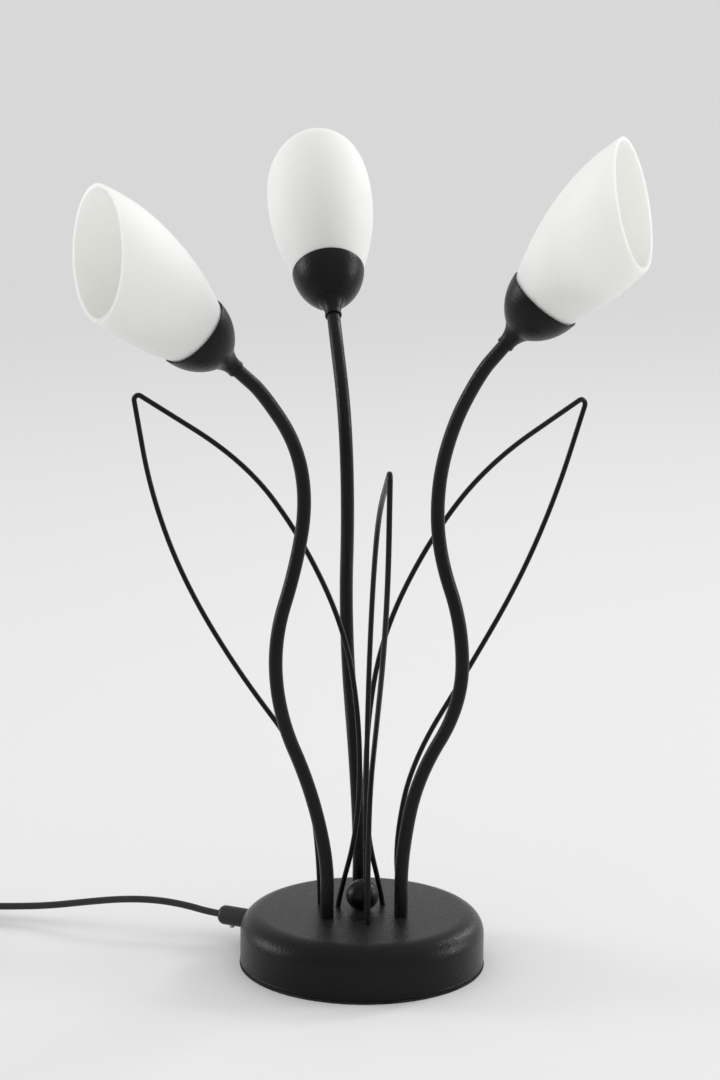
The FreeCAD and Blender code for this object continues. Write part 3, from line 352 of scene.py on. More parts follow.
@dataclass(frozen=True)
class Moulded(Finish):
    """Moulded plastic, rubber or porcelain with its own fine skin."""

    dark: Colour = (0.008, 0.008, 0.0085)
    light: Colour = (0.012, 0.012, 0.0125)
    grain: float = 0.0006
    depth: float = 0.00003
    roughness: Pair = (0.42, 0.52)
    cloud: float = 0.012
    gloss: float = 0.4

    def values(self) -> dict[str, object]:
        """Return the plain values of the main shader's sockets."""
        return {"Specular IOR Level": self.gloss}


@dataclass(frozen=True)
class Metal(Finish):
    """Bare or plated metal with the marks of turning and handling."""

    dark: Colour = (0.42, 0.43, 0.43)
    light: Colour = (0.60, 0.61, 0.60)
    grain: float = 0.0008
    depth: float = 0.00001
    roughness: Pair = (0.24, 0.38)
    cloud: float = 0.008
    cloud_detail: float = 4
    grain_detail: float = 4

    def values(self) -> dict[str, object]:
        """Return the plain values of the main shader's sockets."""
        return {"Metallic": 1.0}


def grey(level: float) -> Colour:
    """Return a neutral tone."""
    return (level, level, level)


class Slot(Enum):
    """The record's material slots, each with the finish that its pieces take."""

    BLACK_COAT = PowderCoat("satin_powder_coat")
    FOAM = Moulded(
        "foam_rubber", grey(0.012), grey(0.03),
        grain=0.0008, depth=0.0003, roughness=(0.85, 0.98), gloss=0.2,
    )
    WEIGHT_IRON = Metal(
        "cast_iron", (0.05, 0.05, 0.052), grey(0.12),
        grain=0.002, depth=0.0002, roughness=(0.55, 0.75),
    )
    ZINC_STEEL = Metal("zinc_plated_steel")
    TERMINAL_WHITE = Moulded("white_polyamide", (0.72, 0.72, 0.69), (0.80, 0.80, 0.78))
    BLACK_PLASTIC = Moulded("black_nylon")
    PORCELAIN = Moulded(
        "glazed_porcelain", (0.80, 0.79, 0.76), (0.86, 0.86, 0.84),
        grain=0.004, depth=0.00002, roughness=(0.10, 0.20), gloss=0.5,
    )
    OPAL_GLASS = OpalGlass("etched_opal_glass")
    CLEAR_GLASS = ClearGlass("quartz_glass")
    BLACK_GLOSS = Moulded(
        "gloss_black_plastic", grain=0.0015, depth=0.00001, roughness=(0.20, 0.30), gloss=0.5
    )
    BLACK_CORD = Moulded(
        "cord_sheath", grey(0.010), grey(0.016),
        grain=0.0012, depth=0.00004, roughness=(0.38, 0.50),
    )
    BLACK_PLUG = Moulded("plug_rubber", grain=0.0008, depth=0.00005, roughness=(0.48, 0.60))
    NICKEL_PINS = Metal(
        "bright_nickel", (0.60, 0.58, 0.54), (0.72, 0.70, 0.66),
        depth=0.000005, roughness=(0.12, 0.24),
    )

    def record_name(self) -> str:
        """Return the name that the record gives this slot."""
        return self.name.lower()


TUNGSTEN = Metal(
    "tungsten_wire", (0.22, 0.21, 0.20), (0.32, 0.31, 0.30), grain=0.0005, roughness=(0.35, 0.5)
)
WHITE_MARK = Moulded("white_marking", (0.62, 0.62, 0.60), (0.70, 0.70, 0.68))


# Ways of making meshes and wires


def hand_over(
    piece: bpy.types.Object,
    slot: Slot,
    replaces: tuple[str, ...] = (),
    body: str = LAMP,
    finish: Finish | None = None,
) -> bpy.types.Object:
    """Give a finished piece its material and its place among the lamp's moving bodies.

    Args:
        piece: The finished piece, already in place.
        slot: The record's slot for it.
        replaces: The solids that it stands for.
        body: The body that it rides on.
        finish: Its own finish, where that isn't the slot's.

    Returns:
        The same piece.
    """
    if piece.name not in bpy.context.scene.collection.all_objects:
        bpy.context.scene.collection.objects.link(piece)
    piece.data.materials.clear()
    piece.data.materials.append((finish or slot.value).material())
    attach(piece, body)
    if replaces:
        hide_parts(*replaces)
    LOG.info("made %s", piece.name)
    return piece


def arc(start: Pair, end: Pair, radius: float, steps: int) -> Outline:
    """Return points of the shorter arc between two places of an outline, both ends included.

    Args:
        start: First place, as (x, z).
        end: Last place.
        radius: Radius of the arc, which turns left on its way where this is positive and right
            where it is negative.
        steps: Number of chords.

    Returns:
        The places along the arc.
    """
    a, b = Vector(start), Vector(end)
    chord = b - a
    side = Vector((-chord.y, chord.x)).normalized() * math.copysign(1, radius)
    centre = (a + b) / 2 + side * math.sqrt(max(radius * radius - chord.length_squared / 4, 0))
    first, last = a - centre, b - centre
    turn = first.angle_signed(last)
    points = []
    for step in range(steps + 1):
        angle = -turn * step / steps
        x = first.x * math.cos(angle) - first.y * math.sin(angle)
        y = first.x * math.sin(angle) + first.y * math.cos(angle)
        points.append((centre.x + x, centre.y + y))
    return points


class Form:
    """A mesh under construction, in millimetres and in its own frame until it is finished."""

    MERGE = 1e-4
    LEVEL = 1e-3
    UPRIGHT = 1.0

    def __init__(self) -> None:
        """Start with nothing."""
        self.mesh = bmesh.new()

    def lathe(self, outline: Outline, steps: int, closed: bool = True) -> "Form":
        """Spin an outline round the Z axis.

        Args:
            outline: Places as (radius, height).
            steps: Number of facets round the axis.
            closed: Whether the outline's end is joined to its start, as a ring's is.

        Returns:
            The form itself.
        """
        corners = [self.mesh.verts.new((radius, 0, height)) for radius, height in outline]
        sides = [self.mesh.edges.new(pair) for pair in zip(corners, corners[1:])]
        if closed:
            sides.append(self.mesh.edges.new((corners[-1], corners[0])))
        bmesh.ops.spin(
            self.mesh,
            geom=corners + sides,
            cent=(0, 0, 0),
            axis=(0, 0, 1),
            angle=math.tau,
            steps=steps,
            use_merge=True,
        )
        return self.mend()

    def slab(self, corners: list[Spot], push: Spot) -> "Form":
        """Add a flat face by its corners and push it into a solid.

        Args:
            corners: The face's corners, in order.
            push: How far it is pushed along X, Y and Z.

        Returns:
            The form itself.
        """
        face = self.mesh.faces.new([self.mesh.verts.new(corner) for corner in corners])
        pushed = bmesh.ops.extrude_face_region(self.mesh, geom=[face])["geom"]
        moved = [v for v in pushed if isinstance(v, bmesh.types.BMVert)]
        bmesh.ops.translate(self.mesh, vec=push, verts=moved)
        return self.mend()

    def mend(self) -> "Form":
        """Merge doubled points and turn all faces outwards.

        Returns:
            The form itself.
        """
        bmesh.ops.remove_doubles(self.mesh, verts=self.mesh.verts, dist=self.MERGE)
        bmesh.ops.recalc_face_normals(self.mesh, faces=self.mesh.faces)
        return self

    def block(
        self, length: float, width: float, height: float, centre: Spot = (0, 0, 0)
    ) -> "Form":
        """Add a box by its sizes along X, Y and Z and its middle.

        Args:
            length: Size along X.
            width: Size along Y.
            height: Size along Z.
            centre: Its middle.

        Returns:
            The form itself.
        """
        made = bmesh.ops.create_cube(self.mesh, size=1)["verts"]
        bmesh.ops.scale(self.mesh, vec=(length, width, height), verts=made)
        bmesh.ops.translate(self.mesh, vec=centre, verts=made)
        return self

    def drum(self, radius: float, low: float, high: float, sides: int) -> "Form":
        """Add a closed drum round the Z axis, from one height to another.

        Args:
            radius: Its radius.
            low: Height of its bottom.
            high: Height of its top.
            sides: Number of facets round it.

        Returns:
            The form itself.
        """
        bmesh.ops.create_cone(
            self.mesh,
            cap_ends=True,
            segments=sides,
            radius1=radius,
            radius2=radius,
            depth=high - low,
            matrix=Matrix.Translation((0, 0, (low + high) / 2)),
        )
        return self

    def round_edges(
        self, chosen: list[bmesh.types.BMEdge], radius: float, segments: int
    ) -> "Form":
        """Round the chosen edges.

        Args:
            chosen: The edges.
            radius: Radius of the round.
            segments: Number of facets across it.

        Returns:
            The form itself.
        """
        bmesh.ops.bevel(
            self.mesh,
            geom=chosen,
            offset=radius,
            offset_type="OFFSET",
            affect="EDGES",
            segments=segments,
            profile=0.5,
            material=-1,
            clamp_overlap=True,
        )
        return self

    def soften(self, radius: float, segments: int, sharper: float = 40) -> "Form":
        """Round every edge that is sharper than an angle in degrees.

        Args:
            radius: Radius of the round.
            segments: Number of facets across it.
            sharper: The angle.

        Returns:
            The form itself.
        """
        limit = math.radians(sharper)
        sharp = [e for e in self.mesh.edges if e.is_manifold and e.calc_face_angle() > limit]
        return self.round_edges(sharp, radius, segments)

    def round_upright(self, radius: float, segments: int) -> "Form":
        """Round the edges that stand up along the Z axis."""
        upright = [e for e in self.mesh.edges if self.rise_of(e) > self.UPRIGHT]
        return self.round_edges(upright, radius, segments)

    @staticmethod
    def rise_of(edge: bmesh.types.BMEdge) -> float:
        """Return how much higher one end of an edge lies than the other."""
        return abs(edge.verts[0].co.z - edge.verts[1].co.z)

    def round_level(self, height: float, radius: float, segments: int) -> "Form":
        """Round the edges that lie at a height.

        Args:
            height: The height.
            radius: Radius of the round.
            segments: Number of facets across it.

        Returns:
            The form itself.
        """
        level = [
            e for e in self.mesh.edges if all(abs(v.co.z - height) < self.LEVEL for v in e.verts)
        ]
        return self.round_edges(level, radius, segments)

    def turn(self, placement: Matrix) -> "Form":
        """Move the form by a placement in millimetres."""
        bmesh.ops.transform(self.mesh, matrix=placement, verts=self.mesh.verts)
        return self

    def take_mesh(self, name: str) -> bpy.types.Mesh:
        """Return the form as a mesh, and leave the form empty.

        Args:
            name: Name of the mesh.

        Returns:
            The mesh.
        """
        mesh = bpy.data.meshes.new(name)
        self.mesh.to_mesh(mesh)
        self.mesh.free()
        return mesh

    def carve(self, cutter: "Form") -> "Form":
        """Cut another closed form out of this one.

        Args:
            cutter: The form that is cut out. It is left empty.

        Returns:
            The form itself.
        """
        body = bpy.data.objects.new("body", self.take_mesh("body"))
        tool = bpy.data.objects.new("tool", cutter.take_mesh("tool"))
        for loose in (body, tool):
            bpy.context.scene.collection.objects.link(loose)
        cut = body.modifiers.new("cut", "BOOLEAN")
        cut.object, cut.operation, cut.solver = tool, "DIFFERENCE", "EXACT"
        graph = bpy.context.evaluated_depsgraph_get()
        result = bpy.data.meshes.new_from_object(body.evaluated_get(graph))
        self.mesh = bmesh.new()
        self.mesh.from_mesh(result)
        for spare in (body.data, tool.data, result):
            bpy.data.meshes.remove(spare)
        return self

    def piece(self, name: str, place: Matrix | None = None) -> bpy.types.Object:
        """Return the finished form as an object, and leave the form empty.

        Args:
            name: Name of the object.
            place: Its placement in metres.

        Returns:
            The object, with its place in its mesh.
        """
        self.turn((place or Matrix()) @ Matrix.Scale(MM, 4))
        mesh = self.take_mesh(name)
        mesh.shade_smooth()
        mesh.set_sharp_from_angle(angle=CREASE)
        return bpy.data.objects.new(name, mesh)


def wire_curve(
    name: str,
    route: list[Vector],
    diameter: float,
    fineness: int,
    frame: Matrix | None = None,
    swell: list[float] | None = None,
) -> bpy.types.Object:
    """Make a round wire, tube or cord that bends smoothly past the places of its route.

    Args:
        name: Name of the object.
        route: Places in millimetres.
        diameter: Diameter in millimetres.
        fineness: Number of steps from place to place.
        frame: The frame that the places are given in, where that isn't the lamp's.
        swell: The wire's thickness at each place, as shares of the diameter.

    Returns:
        The curve object.
    """
    curve = bpy.data.curves.new(name, "CURVE")
    curve.dimensions = "3D"
    curve.bevel_depth = diameter * MM / 2
    curve.bevel_resolution = 9
    curve.resolution_u = fineness
    curve.use_fill_caps = True
    line = curve.splines.new("NURBS")
    line.points.add(len(route) - 1)
    for point, place in zip(line.points, route):
        point.co = (*((frame or Matrix()) @ (place * MM)), 1)
    for point, share in zip(line.points, swell or []):
        point.radius = share
    line.order_u = 3
    line.use_endpoint_u = True
    return bpy.data.objects.new(name, curve)


# The lamp's sub-assemblies


@dataclass
class Base:
    """Round pan with its pad and the ball in its middle."""

    diameter: float = 150.0
    height: float = 33.6
    edge_round: float = 13.4
    wall: float = 1.6
    hem_height: float = 1.5
    groove: float = 0.35
    stud_hole: float = 6.3
    pad_height: float = 1.6
    pad_diameter: float = 150.8
    pad_gap: float = 0.15
    pad_round: float = 0.45
    ball_diameter: float = 20.0
    ball_seat: float = 6.8
    ball_edge: float = 0.2

    def build(self) -> None:
        """Make the pan, the pad and the ball."""
        self.make_pan()
        self.make_pad()
        self.make_ball()

    def make_pan(self) -> None:
        """Make the deep-drawn pan, whose foot is turned over in a small hem."""
        radius, top, floor = self.diameter / 2, self.height, self.pad_height
        inner, ceiling, hole = radius - self.wall, top - self.wall, self.stud_hole / 2
        bend, round_in = self.edge_round, self.edge_round - self.wall
        hem_top, groove = floor + self.hem_height, self.groove
        outline = [(hole, top)]
        outline += arc((radius - bend, top), (radius, top - bend), -bend, 24)
        outline += [(radius, hem_top + groove), (radius - groove / 2, hem_top + groove / 2)]
        outline += arc((radius, hem_top), (radius, floor + groove), -self.hem_height, 6)
        outline += [(radius - groove, floor), (inner, floor)]
        outline += arc((inner, ceiling - round_in), (inner - round_in, ceiling), round_in, 12)
        outline += [(hole, ceiling)]
        pan = Form().lathe(outline, 160)
        hand_over(pan.piece("base_pan"), Slot.BLACK_COAT, ("base_cover",))

    def make_pad(self) -> None:
        """Make the thin foam pad under the pan."""
        pad = Form().drum(self.pad_diameter / 2, 0, self.pad_height - self.pad_gap, 160)
        pad.soften(self.pad_round, 3)
        hand_over(pad.piece("base_pad"), Slot.FOAM, ("foot_pad",))

    def make_ball(self) -> None:
        """Make the ball that screws down the middle of the base."""
        radius, seat, edge = self.ball_diameter / 2, self.ball_seat / 2, self.ball_edge
        rise = math.sqrt(radius * radius - seat * seat)
        outline = [(0, 0), (seat - edge, 0), (seat, edge)]
        outline += arc((seat, edge), (radius, rise), radius, 14)[1:]
        outline += arc((radius, rise), (0, rise + radius), radius, 20)[1:]
        ball = Form().lathe(outline, 64, closed=False)
        place = Matrix.Translation(mm(0, 0, self.height))
        hand_over(ball.piece("ball", place), Slot.BLACK_COAT, ("ball_nut",))


@dataclass
class Grip:
    """Cord grip in the side of the pan."""

    azimuth: float = 155.0
    height: float = 15.72
    pan_diameter: float = 150.0
    diameter: float = 12.6
    length: float = 23.6
    bore: float = 4.6
    bore_edge: float = 0.6
    shank: float = 5.0
    shank_step: float = 1.5
    collar: float = 1.4
    collar_gap: float = 0.05
    collar_step: float = 0.25
    collar_slope: float = 0.3
    nose: float = 3.4
    nose_diameter: float = 8.6
    nose_curve: float = 4.2
    nose_drop: float = 0.2
    nose_edge: float = 0.4
    edge: float = 0.12
    screw_diameter: float = 3.0
    screw_from_nose: float = 8.2
    screw_proud: float = 1.3
    screw_sunk: float = 2.0
    screw_edge: float = 0.3
    slot_width: float = 0.6
    slot_depth: float = 0.7

    def build(self) -> None:
        """Make the grip's housing and its screw."""
        wide, bore, nose = self.diameter / 2, self.bore / 2, self.nose_diameter / 2
        shank, barrel = wide - self.shank_step, wide - self.collar_step
        shoulder = (barrel, self.length - self.nose)
        outline = [(bore, -self.shank), (shank, -self.shank), (shank, self.collar_gap)]
        outline += [(wide, self.collar_gap), (wide, self.collar)]
        outline += [(barrel, self.collar + self.collar_slope), shoulder]
        outline += arc(shoulder, (nose, self.length - self.nose_drop), self.nose_curve, 8)[1:]
        outline += [(nose - self.nose_edge, self.length), (bore + self.bore_edge, self.length)]
        outline += [(bore, self.length - self.bore_edge)]
        form = Form().lathe(outline, 64).soften(self.edge, 2)
        housing = form.piece("grip_housing", self.placement())
        hand_over(housing, Slot.BLACK_PLASTIC, ("grip_body",))
        self.make_screw()

    def placement(self) -> Matrix:
        """Return the grip's frame: +Z out of the pan, +X down.

        Returns:
            The placement in metres.
        """
        out = heading(self.azimuth)
        face = out * (self.pan_diameter / 2 * MM) + mm(0, 0, self.height)
        return frame_of(face, -Z_AXIS, out)

    def make_screw(self) -> None:
        """Make the slotted screw that presses on the cord from beneath."""
        wide, reach = self.diameter / 2, self.diameter / 2 + self.screw_proud
        screw = Form().drum(self.screw_diameter / 2, wide - self.screw_sunk, reach, 32)
        screw.soften(self.screw_edge, 2)
        across = self.screw_diameter * 2
        screw.carve(Form().block(across, self.slot_width, self.slot_depth * 2, (0, 0, reach)))
        out = heading(self.azimuth)
        along = out * ((self.pan_diameter / 2 + self.length - self.screw_from_nose) * MM)
        place = frame_of(along + mm(0, 0, self.height), out, -Z_AXIS)
        hand_over(screw.piece("grip_set_screw", place), Slot.ZINC_STEEL, ("grip_screw",))


@dataclass
class Filament:
    """Coiled tungsten wire in a small bulb, on its two leads."""

    turns: int = 9
    steps_in_turn: int = 12
    coil_radius: float = 0.9
    reach: float = 2.6
    low: float = 6.0
    high: float = 22.0
    thickness: float = 0.35

    def build(self, name: str, frame: Matrix) -> None:
        """Make the wire.

        Args:
            name: Name of the piece.
            frame: The flower's frame.
        """
        reach, radius, steps = self.reach, self.coil_radius, self.turns * self.steps_in_turn
        route = [Vector((reach, 0, self.low)), Vector((reach, 0, self.high))]
        for step in range(steps + 1):
            turn = math.tau * step / self.steps_in_turn
            across = reach - 2 * reach * step / steps
            height = self.high + radius * math.cos(turn)
            route.append(Vector((across, radius * math.sin(turn), height)))
        route += [Vector((-reach, 0, self.high)), Vector((-reach, 0, self.low))]
        wire = wire_curve(name, route, self.thickness, 3, frame)
        wire.data.bevel_resolution = 1
        hand_over(wire, Slot.ZINC_STEEL, finish=TUNGSTEN)


@dataclass
class Flower:
    """A stem of bent tube with its neck, cup and glass, and the filament in its bulb."""

    name: str
    third: int
    azimuth: float
    drift: float
    rise: float
    sway: float
    tilt: float
    sway_shares: tuple[float, ...]
    rise_shares: tuple[float, ...] = (0.11, 0.25, 0.385, 0.52, 0.645, 0.76, 0.865)
    base_height: float = 33.6
    ring_diameter: float = 52.4
    ring_azimuth: float = 94.7
    stem_diameter: float = 8.3
    stem_foot: float = 6.0
    end_run: float = 22.0
    end_point: float = 6.0
    in_neck: float = 5.0
    neck_length: float = 12.6
    neck_foot_diameter: float = 10.4
    neck_lip: float = 1.6
    neck_lip_slope: float = 0.25
    neck_waist_diameter: float = 10.0
    neck_top_diameter: float = 18.8
    neck_bore_gap: float = 0.05
    neck_edge: float = 0.25
    cup_diameter: float = 45.5
    cup_depth: float = 24.6
    cup_seat_diameter: float = 19.2
    cup_side_radius: float = 35.0
    cup_wall: float = 0.9
    cup_hole_diameter: float = 9.7
    cup_edge: float = 0.3
    glass_wall: float = 2.2
    glass_hole_diameter: float = 23.0
    glass_foot_diameter: float = 31.0
    glass_foot_drop: float = 12.2
    glass_lip_diameter: float = 43.0
    belly_diameter: float = 67.0
    belly_height: float = 63.0
    crown_radius: float = 124.0
    blank_height: float = 108.0
    mouth_height: float = 78.1
    mouth_slant: float = 38.1
    mouth_round: float = 0.95

    def build(self) -> None:
        """Make the flower from its stem to its glass."""
        self.make_stem()
        self.make_neck()
        self.make_cup()
        self.make_glass()
        Filament().build(f"filament_{self.name}", self.head_frame())

    def stem_frame(self) -> Matrix:
        """Return the stem's frame: at its foot, +X to the side that it leans to."""
        foot = heading(self.ring_azimuth + THIRD * self.third) * (self.ring_diameter / 2 * MM)
        return frame_of(foot + mm(0, 0, self.base_height), heading(self.azimuth), Z_AXIS)

    def axis(self) -> Vector:
        """Return the flower's direction in the stem's frame."""
        tilt = math.radians(self.tilt)
        return Vector((math.cos(tilt), 0, math.sin(tilt)))

    def bend(self, across: float, up: float) -> Vector:
        """Return a place of the stem in its own frame, in millimetres.

        Args:
            across: Share of the stem's sway.
            up: Share of its rise.

        Returns:
            The place.
        """
        first = self.rise_shares[0]
        aside = self.drift * (up - first) / (1 - first)
        return Vector((self.sway * across, aside, self.rise * up))

    def head_frame(self) -> Matrix:
        """Return the flower's frame: at the cup's rim, +Z out of it, +X to its long side.

        Returns:
            The placement in metres.
        """
        axis = self.axis()
        rim = (self.bend(1, 1) + axis * (self.neck_length + self.cup_depth)) * MM
        return self.stem_frame() @ frame_of(rim, Vector((-axis.z, 0, axis.x)), axis)

    def make_stem(self) -> None:
        """Make the bent tube."""
        axis, end = self.axis(), self.bend(1, 1)
        route = [Vector((0, 0, -self.stem_foot)), Vector((0, 0, self.stem_foot))]
        route += [self.bend(across, up) for up, across in zip(self.rise_shares, self.sway_shares)]
        route += [end - axis * self.end_run, end - axis * self.end_point]
        route += [end + axis * self.in_neck]
        name = f"stem_tube_{self.name}"
        stem = wire_curve(name, route, self.stem_diameter, 16, self.stem_frame())
        hand_over(stem, Slot.BLACK_COAT, (f"stem_{self.name}",))

    def make_neck(self) -> None:
        """Make the trumpet neck with the lip round its foot."""
        foot, top = -self.cup_depth - self.neck_length, -self.cup_depth
        lip, bore = foot + self.neck_lip, self.stem_diameter / 2 + self.neck_bore_gap
        outer, waist = self.neck_foot_diameter / 2, self.neck_waist_diameter / 2
        wide, drop = self.neck_top_diameter / 2, top - lip
        flare = ((wide - waist) ** 2 + drop * drop) / (2 * (wide - waist))
        start = (waist, lip + self.neck_lip_slope)
        outline = [(bore, foot), (outer, foot), (outer, lip), start]
        outline += arc(start, (wide, top), -flare, 16)[1:]
        outline += [(bore, top)]
        form = Form().lathe(outline, 64).soften(self.neck_edge, 3)
        neck = form.piece(f"neck_trumpet_{self.name}", self.head_frame())
        hand_over(neck, Slot.BLACK_COAT, (f"neck_{self.name}",))

    def make_cup(self) -> None:
        """Make the round cup that holds the glass."""
        seat, rim, depth = self.cup_seat_diameter / 2, self.cup_diameter / 2, self.cup_depth
        outside, inside = self.cup_side_radius, self.cup_side_radius - self.cup_wall
        floor, hole = -depth + self.cup_wall, self.cup_hole_diameter / 2
        flare, slope = rim - seat, math.hypot(rim - seat, depth)
        stand_off = math.sqrt(outside * outside - slope * slope / 4)
        middle_x = (rim + seat) / 2 - depth / slope * stand_off
        middle_z = flare / slope * stand_off - depth / 2
        inner_rim = middle_x + math.sqrt(inside * inside - middle_z * middle_z)
        inner_seat = middle_x + math.sqrt(inside * inside - (floor - middle_z) ** 2)
        outline = [(hole, -depth)]
        outline += arc((seat, -depth), (rim, 0), outside, 24)
        outline += arc((inner_rim, 0), (inner_seat, floor), -inside, 20)
        outline += [(hole, floor)]
        form = Form().lathe(outline, 96).soften(self.cup_edge, 3, 50)
        cup = form.piece(f"cup_bowl_{self.name}", self.head_frame())
        hand_over(cup, Slot.BLACK_COAT, (f"cup_{self.name}",))

    def glass_outline(self, wall: float) -> Outline:
        """Return one side of the glass's wall from its foot up.

        Args:
            wall: How far it lies inside the outer side.

        Returns:
            Places as (radius, height), from the foot to the top of the uncut glass.
        """
        lip, belly = self.glass_lip_diameter / 2, self.belly_diameter / 2
        across = belly - lip
        bowl_radius = (across * across + self.belly_height**2) / (across * 2)
        bowl, crown = bowl_radius - wall, self.crown_radius - wall
        blank = self.blank_height - self.belly_height
        low = belly - bowl_radius + math.sqrt(bowl * bowl - self.belly_height**2)
        high = belly - self.crown_radius + math.sqrt(crown * crown - blank * blank)
        foot = (self.glass_foot_diameter / 2 - wall / 2, wall - self.glass_foot_drop)
        widest = (belly - wall, self.belly_height)
        outline = [(self.glass_hole_diameter / 2, foot[1]), foot]
        outline += arc((low, 0), widest, bowl, 20)
        outline += arc(widest, (high, self.blank_height), crown, 16)[1:]
        return outline

    def make_glass(self) -> None:
        """Make the glass, cut at a slant and with its mouth fire-polished."""
        slant = math.radians(self.mouth_slant)
        outline = self.glass_outline(0) + self.glass_outline(self.glass_wall)[::-1]
        form = Form().lathe(outline, 128)
        bmesh.ops.bisect_plane(
            form.mesh,
            geom=form.mesh.verts[:] + form.mesh.edges[:] + form.mesh.faces[:],
            plane_co=(0, 0, self.mouth_height),
            plane_no=(-math.sin(slant), 0, math.cos(slant)),
            clear_outer=True,
        )
        open_edges = [e for e in form.mesh.edges if e.is_boundary]
        bmesh.ops.bridge_loops(form.mesh, edges=open_edges)
        form.mend().soften(self.mouth_round, 4, 50)
        glass = form.piece(f"glass_flower_{self.name}", self.head_frame())
        hand_over(glass, Slot.OPAL_GLASS, (f"glass_{self.name}",))


@dataclass
class Leaf:
    """One leaf: a loop of wire whose two legs stand in the base."""

    name: str
    third: int
    azimuth: float
    reach: float
    rise: float
    outer_shares: tuple[float, ...]
    inner_shares: tuple[float, ...]
    outer_rise: tuple[float, ...] = (0.13, 0.29, 0.46, 0.63, 0.80)
    inner_rise: tuple[float, ...] = (0.17, 0.37, 0.56, 0.74, 0.88)
    base_height: float = 33.6
    ring_diameter: float = 44.6
    ring_azimuth: float = 37.7
    spread: float = 11.7
    foot_rise: float = 3.0
    in_base: float = 4.0
    wire_diameter: float = 3.2
    tip_radius: float = 3.2

    def build(self) -> None:
        """Make the loop of wire."""
        foot = heading(self.ring_azimuth + THIRD * self.third) * (self.ring_diameter / 2 * MM)
        frame = frame_of(foot + mm(0, 0, self.base_height), heading(self.azimuth), Z_AXIS)
        outer = self.strand(self.spread / 2, self.outer_rise, self.outer_shares)
        inner = self.strand(-self.spread / 2, self.inner_rise, self.inner_shares)
        route = outer + self.tip_bend(outer[-1], inner[-1]) + inner[::-1]
        wire = wire_curve(f"leaf_wire_{self.name}", route, self.wire_diameter, 16, frame)
        hand_over(wire, Slot.BLACK_COAT, (f"leaf_{self.name}",))

    def tip_bend(self, outer: Vector, inner: Vector) -> list[Vector]:
        """Return the places round the small bend at the tip, in millimetres.

        Args:
            outer: Last place of the outer strand.
            inner: Last place of the inner strand.

        Returns:
            Two places on each strand, just short of the point where they would meet.
        """
        tip = Vector((self.reach, 0, self.rise))
        ways = [(place - tip).normalized() for place in (outer, inner)]
        half = ways[0].angle(ways[1]) / 2
        back = self.tip_radius * (1 / math.sin(half) - 1) / math.cos(half)
        span = 2 * back * math.sin(half)
        starts, shoulders = ([tip + way * far for way in ways] for far in (back + span, back))
        return [starts[0], *shoulders, starts[1]]

    def strand(
        self, foot: float, ups: tuple[float, ...], alongs: tuple[float, ...]
    ) -> list[Vector]:
        """Return the places of one side of the leaf from its foot up, in millimetres.

        Args:
            foot: Where its foot stands along the leaf's own X axis.
            ups: Shares of the rise.
            alongs: Shares of the reach.

        Returns:
            The places, without the tip.
        """
        feet = [Vector((foot, 0, -self.in_base)), Vector((foot, 0, self.foot_rise))]
        rest = zip(ups, alongs)
        return feet + [Vector((self.reach * along, 0, self.rise * up)) for up, along in rest]


